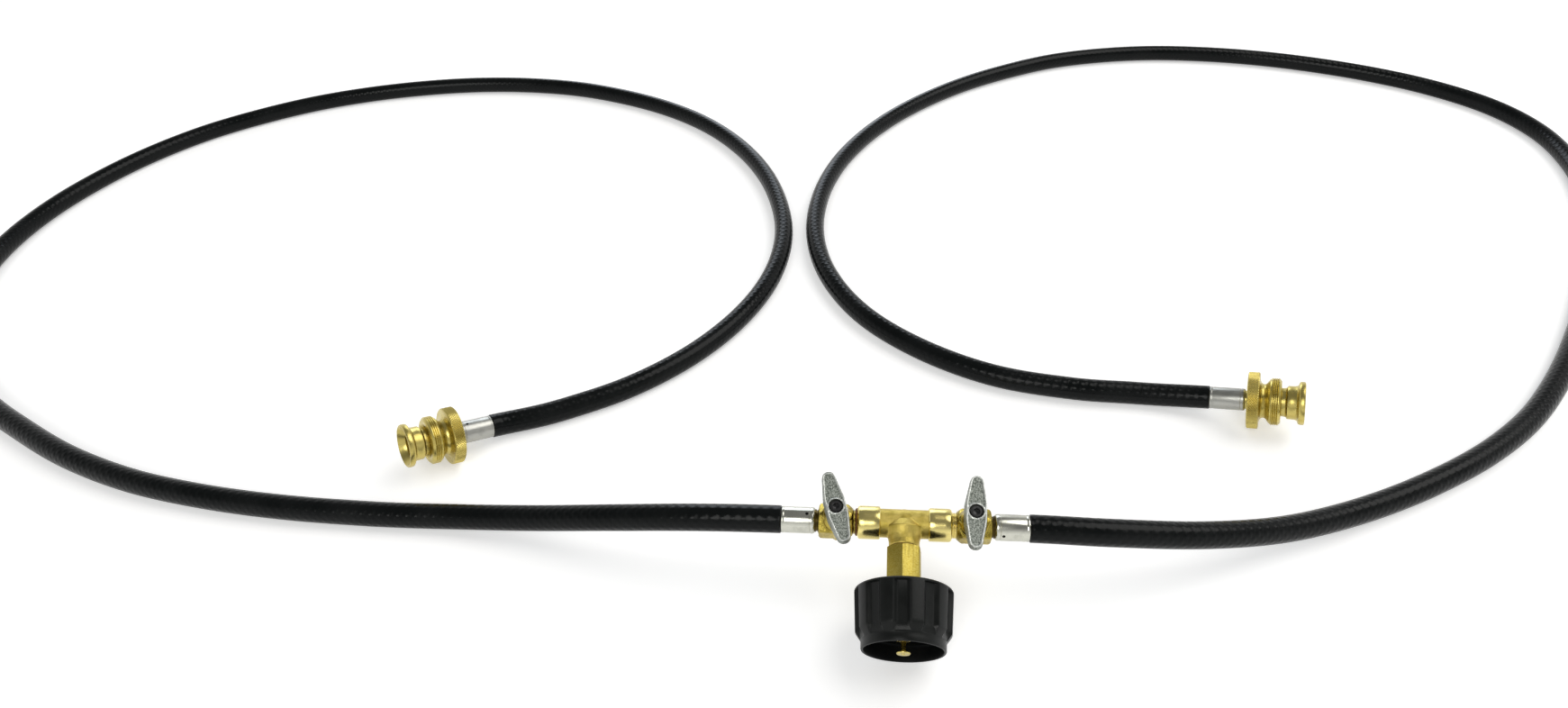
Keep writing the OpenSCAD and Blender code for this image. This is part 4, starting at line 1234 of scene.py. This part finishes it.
def hoseTube(name, line):
    # rings of corners along the line, with an extra ring inside each rounded end
    radius, sides, rounding = hoseMake["diameter"] / 2, hoseMake["sides"], hoseMake["endRound"]
    first = (line[1] - line[0]).normalized()
    last = (line[-1] - line[-2]).normalized()
    centres = [line[0], line[0] + first * rounding] + line[1:-1] + [line[-1] - last * rounding, line[-1]]
    radii = [radius - rounding] + [radius] * (len(centres) - 2) + [radius - rounding]
    verts, faces, uvs, marks = [], [], [], [0]
    for i, centre in enumerate(centres):
        if i:
            marks.append(marks[-1] + (centre - centres[i - 1]).length)
        before = centres[max(i - 1, 0)]
        after = centres[min(i + 1, len(centres) - 1)]
        way = (after - before).normalized()
        across = Vector((0, 0, 1)).cross(way).normalized()
        up = way.cross(across)
        for k in range(sides):
            turn = math.tau * k / sides
            verts.append(centre + (across * math.cos(turn) + up * math.sin(turn)) * radii[i])
    for i in range(len(centres) - 1):
        ring, nextRing = i * sides, (i + 1) * sides
        for k in range(sides):
            nextK = (k + 1) % sides
            faces.append((ring + k, ring + nextK, nextRing + nextK, nextRing + k))
            uvs.append([(k / sides, marks[i]), ((k + 1) / sides, marks[i]),
                        ((k + 1) / sides, marks[i + 1]), (k / sides, marks[i + 1])])
    faces.append(tuple(range(sides - 1, -1, -1)))
    faces.append(tuple(range(len(verts) - sides, len(verts))))
    uvs.append([(0.5, 0)] * sides)
    uvs.append([(0.5, marks[-1])] * sides)

    mesh = bpy.data.meshes.new(name)
    mesh.from_pydata(verts, [], faces)
    layer = mesh.uv_layers.new(name="hoseWrap")
    for face, corners in zip(mesh.polygons, uvs):
        for loop, corner in zip(face.loop_indices, corners):
            layer.data[loop].uv = corner
    hose = bpy.data.objects.new(name, mesh)
    bpy.context.collection.objects.link(hose)
    return hose, round(marks[-1], 3)


def makeHose(side):
    line = hoseLine(side)
    hose, length = hoseTube(side + "_rubber_hose", line)
    hose.data.materials.append(looks["hoseRubber"])
    smooth(hose, 40)
    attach(hose, "gas_manifold")
    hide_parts(side + "_hose")
    tuple(line[0])
    [tuple(p) for p in line]
    print(side, "hose:", length, "m")


for side in bothSides:
    makeHose(side)
print("hoses laid")


studio = {
    "floorSize": 14,
    "floorColour": (0.86, 0.86, 0.86),
    "floorGlow": 0.42,                 # only seen by the camera and in mirrors, so the floor reads white
    "farGlow": 0.8,                    # the same, out where the lamps don't reach
    "farFrom": 1.2, "farTo": 4.2,
    "airSide": 0.42,                   # strength of the air light near the horizon
    "airAbove": 0.24,                  # and overhead
    "sideUpTo": 0.15, "aboveFrom": 0.7,
    "lampsAimAt": (0, 0.2, 0),
}

lamps = {
    "keyLight": {"spot": (2.1, 0.9, 3.4), "size": 3.4, "power": 80, "colour": (1, 0.985, 0.96)},
    "backLight": {"spot": (-0.6, 4.2, 1.5), "size": 2.4, "power": 36, "colour": (0.82, 0.9, 1)},
    "frontLight": {"spot": (-0.8, -2.3, 2.6), "size": 1.8, "power": 34, "colour": (1, 1, 0.97)},
}


def addSoftLight(name, spot, size, power, colour):
    bpy.ops.object.light_add(type="AREA", location=spot)
    lamp = bpy.context.object
    lamp.name = name
    lamp.data.shape = "DISK"
    lamp.data.size = size
    lamp.data.energy = power
    lamp.data.color = colour
    lamp.rotation_euler = (Vector(spot) - Vector(studio["lampsAimAt"])).to_track_quat("Z", "Y").to_euler()


def seenDirectly(tree):
    # 1 for what the camera, a mirror or glass sees
    path = tree.nodes.new("ShaderNodeLightPath")
    first = reckon(tree, "MAXIMUM", path.outputs["Is Camera Ray"], path.outputs["Is Glossy Ray"])
    return reckon(tree, "MAXIMUM", first, path.outputs["Is Transmission Ray"])


def makeFloor():
    clearBench()
    bpy.ops.mesh.primitive_plane_add(size=studio["floorSize"])
    floor = bpy.context.object
    floor.name = "floor"
    mat, tree, shader = newMaterial("paleFloor", studio["floorColour"], 0, 0.95)
    shader.inputs["Specular IOR Level"].default_value = 0
    shader.inputs["Emission Color"].default_value = (1, 1, 1, 1)
    reach = tree.nodes.new("ShaderNodeVectorMath")
    reach.operation = "LENGTH"
    tree.links.new(place(tree), reach.inputs[0])
    glow = rescale(tree, reach.outputs["Value"], studio["farFrom"], studio["farTo"],
                   studio["floorGlow"], studio["farGlow"])
    tree.links.new(reckon(tree, "MULTIPLY", seenDirectly(tree), glow), shader.inputs["Emission Strength"])
    floor.data.materials.append(mat)


def makeAir():
    # air light: white behind the floor's edge, dimmer overhead
    world = bpy.data.worlds.new("studioAir")
    bpy.context.scene.world = world
    world.use_nodes = True
    tree = world.node_tree
    air = tree.nodes["Background"]
    air.inputs["Color"].default_value = (1, 1, 1, 1)
    height = tree.nodes.new("ShaderNodeSeparateXYZ")
    tree.links.new(tree.nodes.new("ShaderNodeTexCoord").outputs["Generated"], height.inputs["Vector"])
    pickShare = tree.nodes.new("ShaderNodeMix")
    tree.links.new(seenDirectly(tree), pickShare.inputs["Factor"])
    for socket, atSide in (("A", studio["airSide"]), ("B", 1)):
        strength = rescale(tree, height.outputs["Z"], studio["sideUpTo"], studio["aboveFrom"],
                           atSide, studio["airAbove"])
        tree.links.new(strength, pickShare.inputs[socket])
    tree.links.new(pickShare.outputs["Result"], air.inputs["Strength"])


makeFloor()
makeAir()
for name, lamp in lamps.items():
    addSoftLight(name, **lamp)
bpy.context.scene.view_settings.view_transform = "Standard"
print("studio lit")
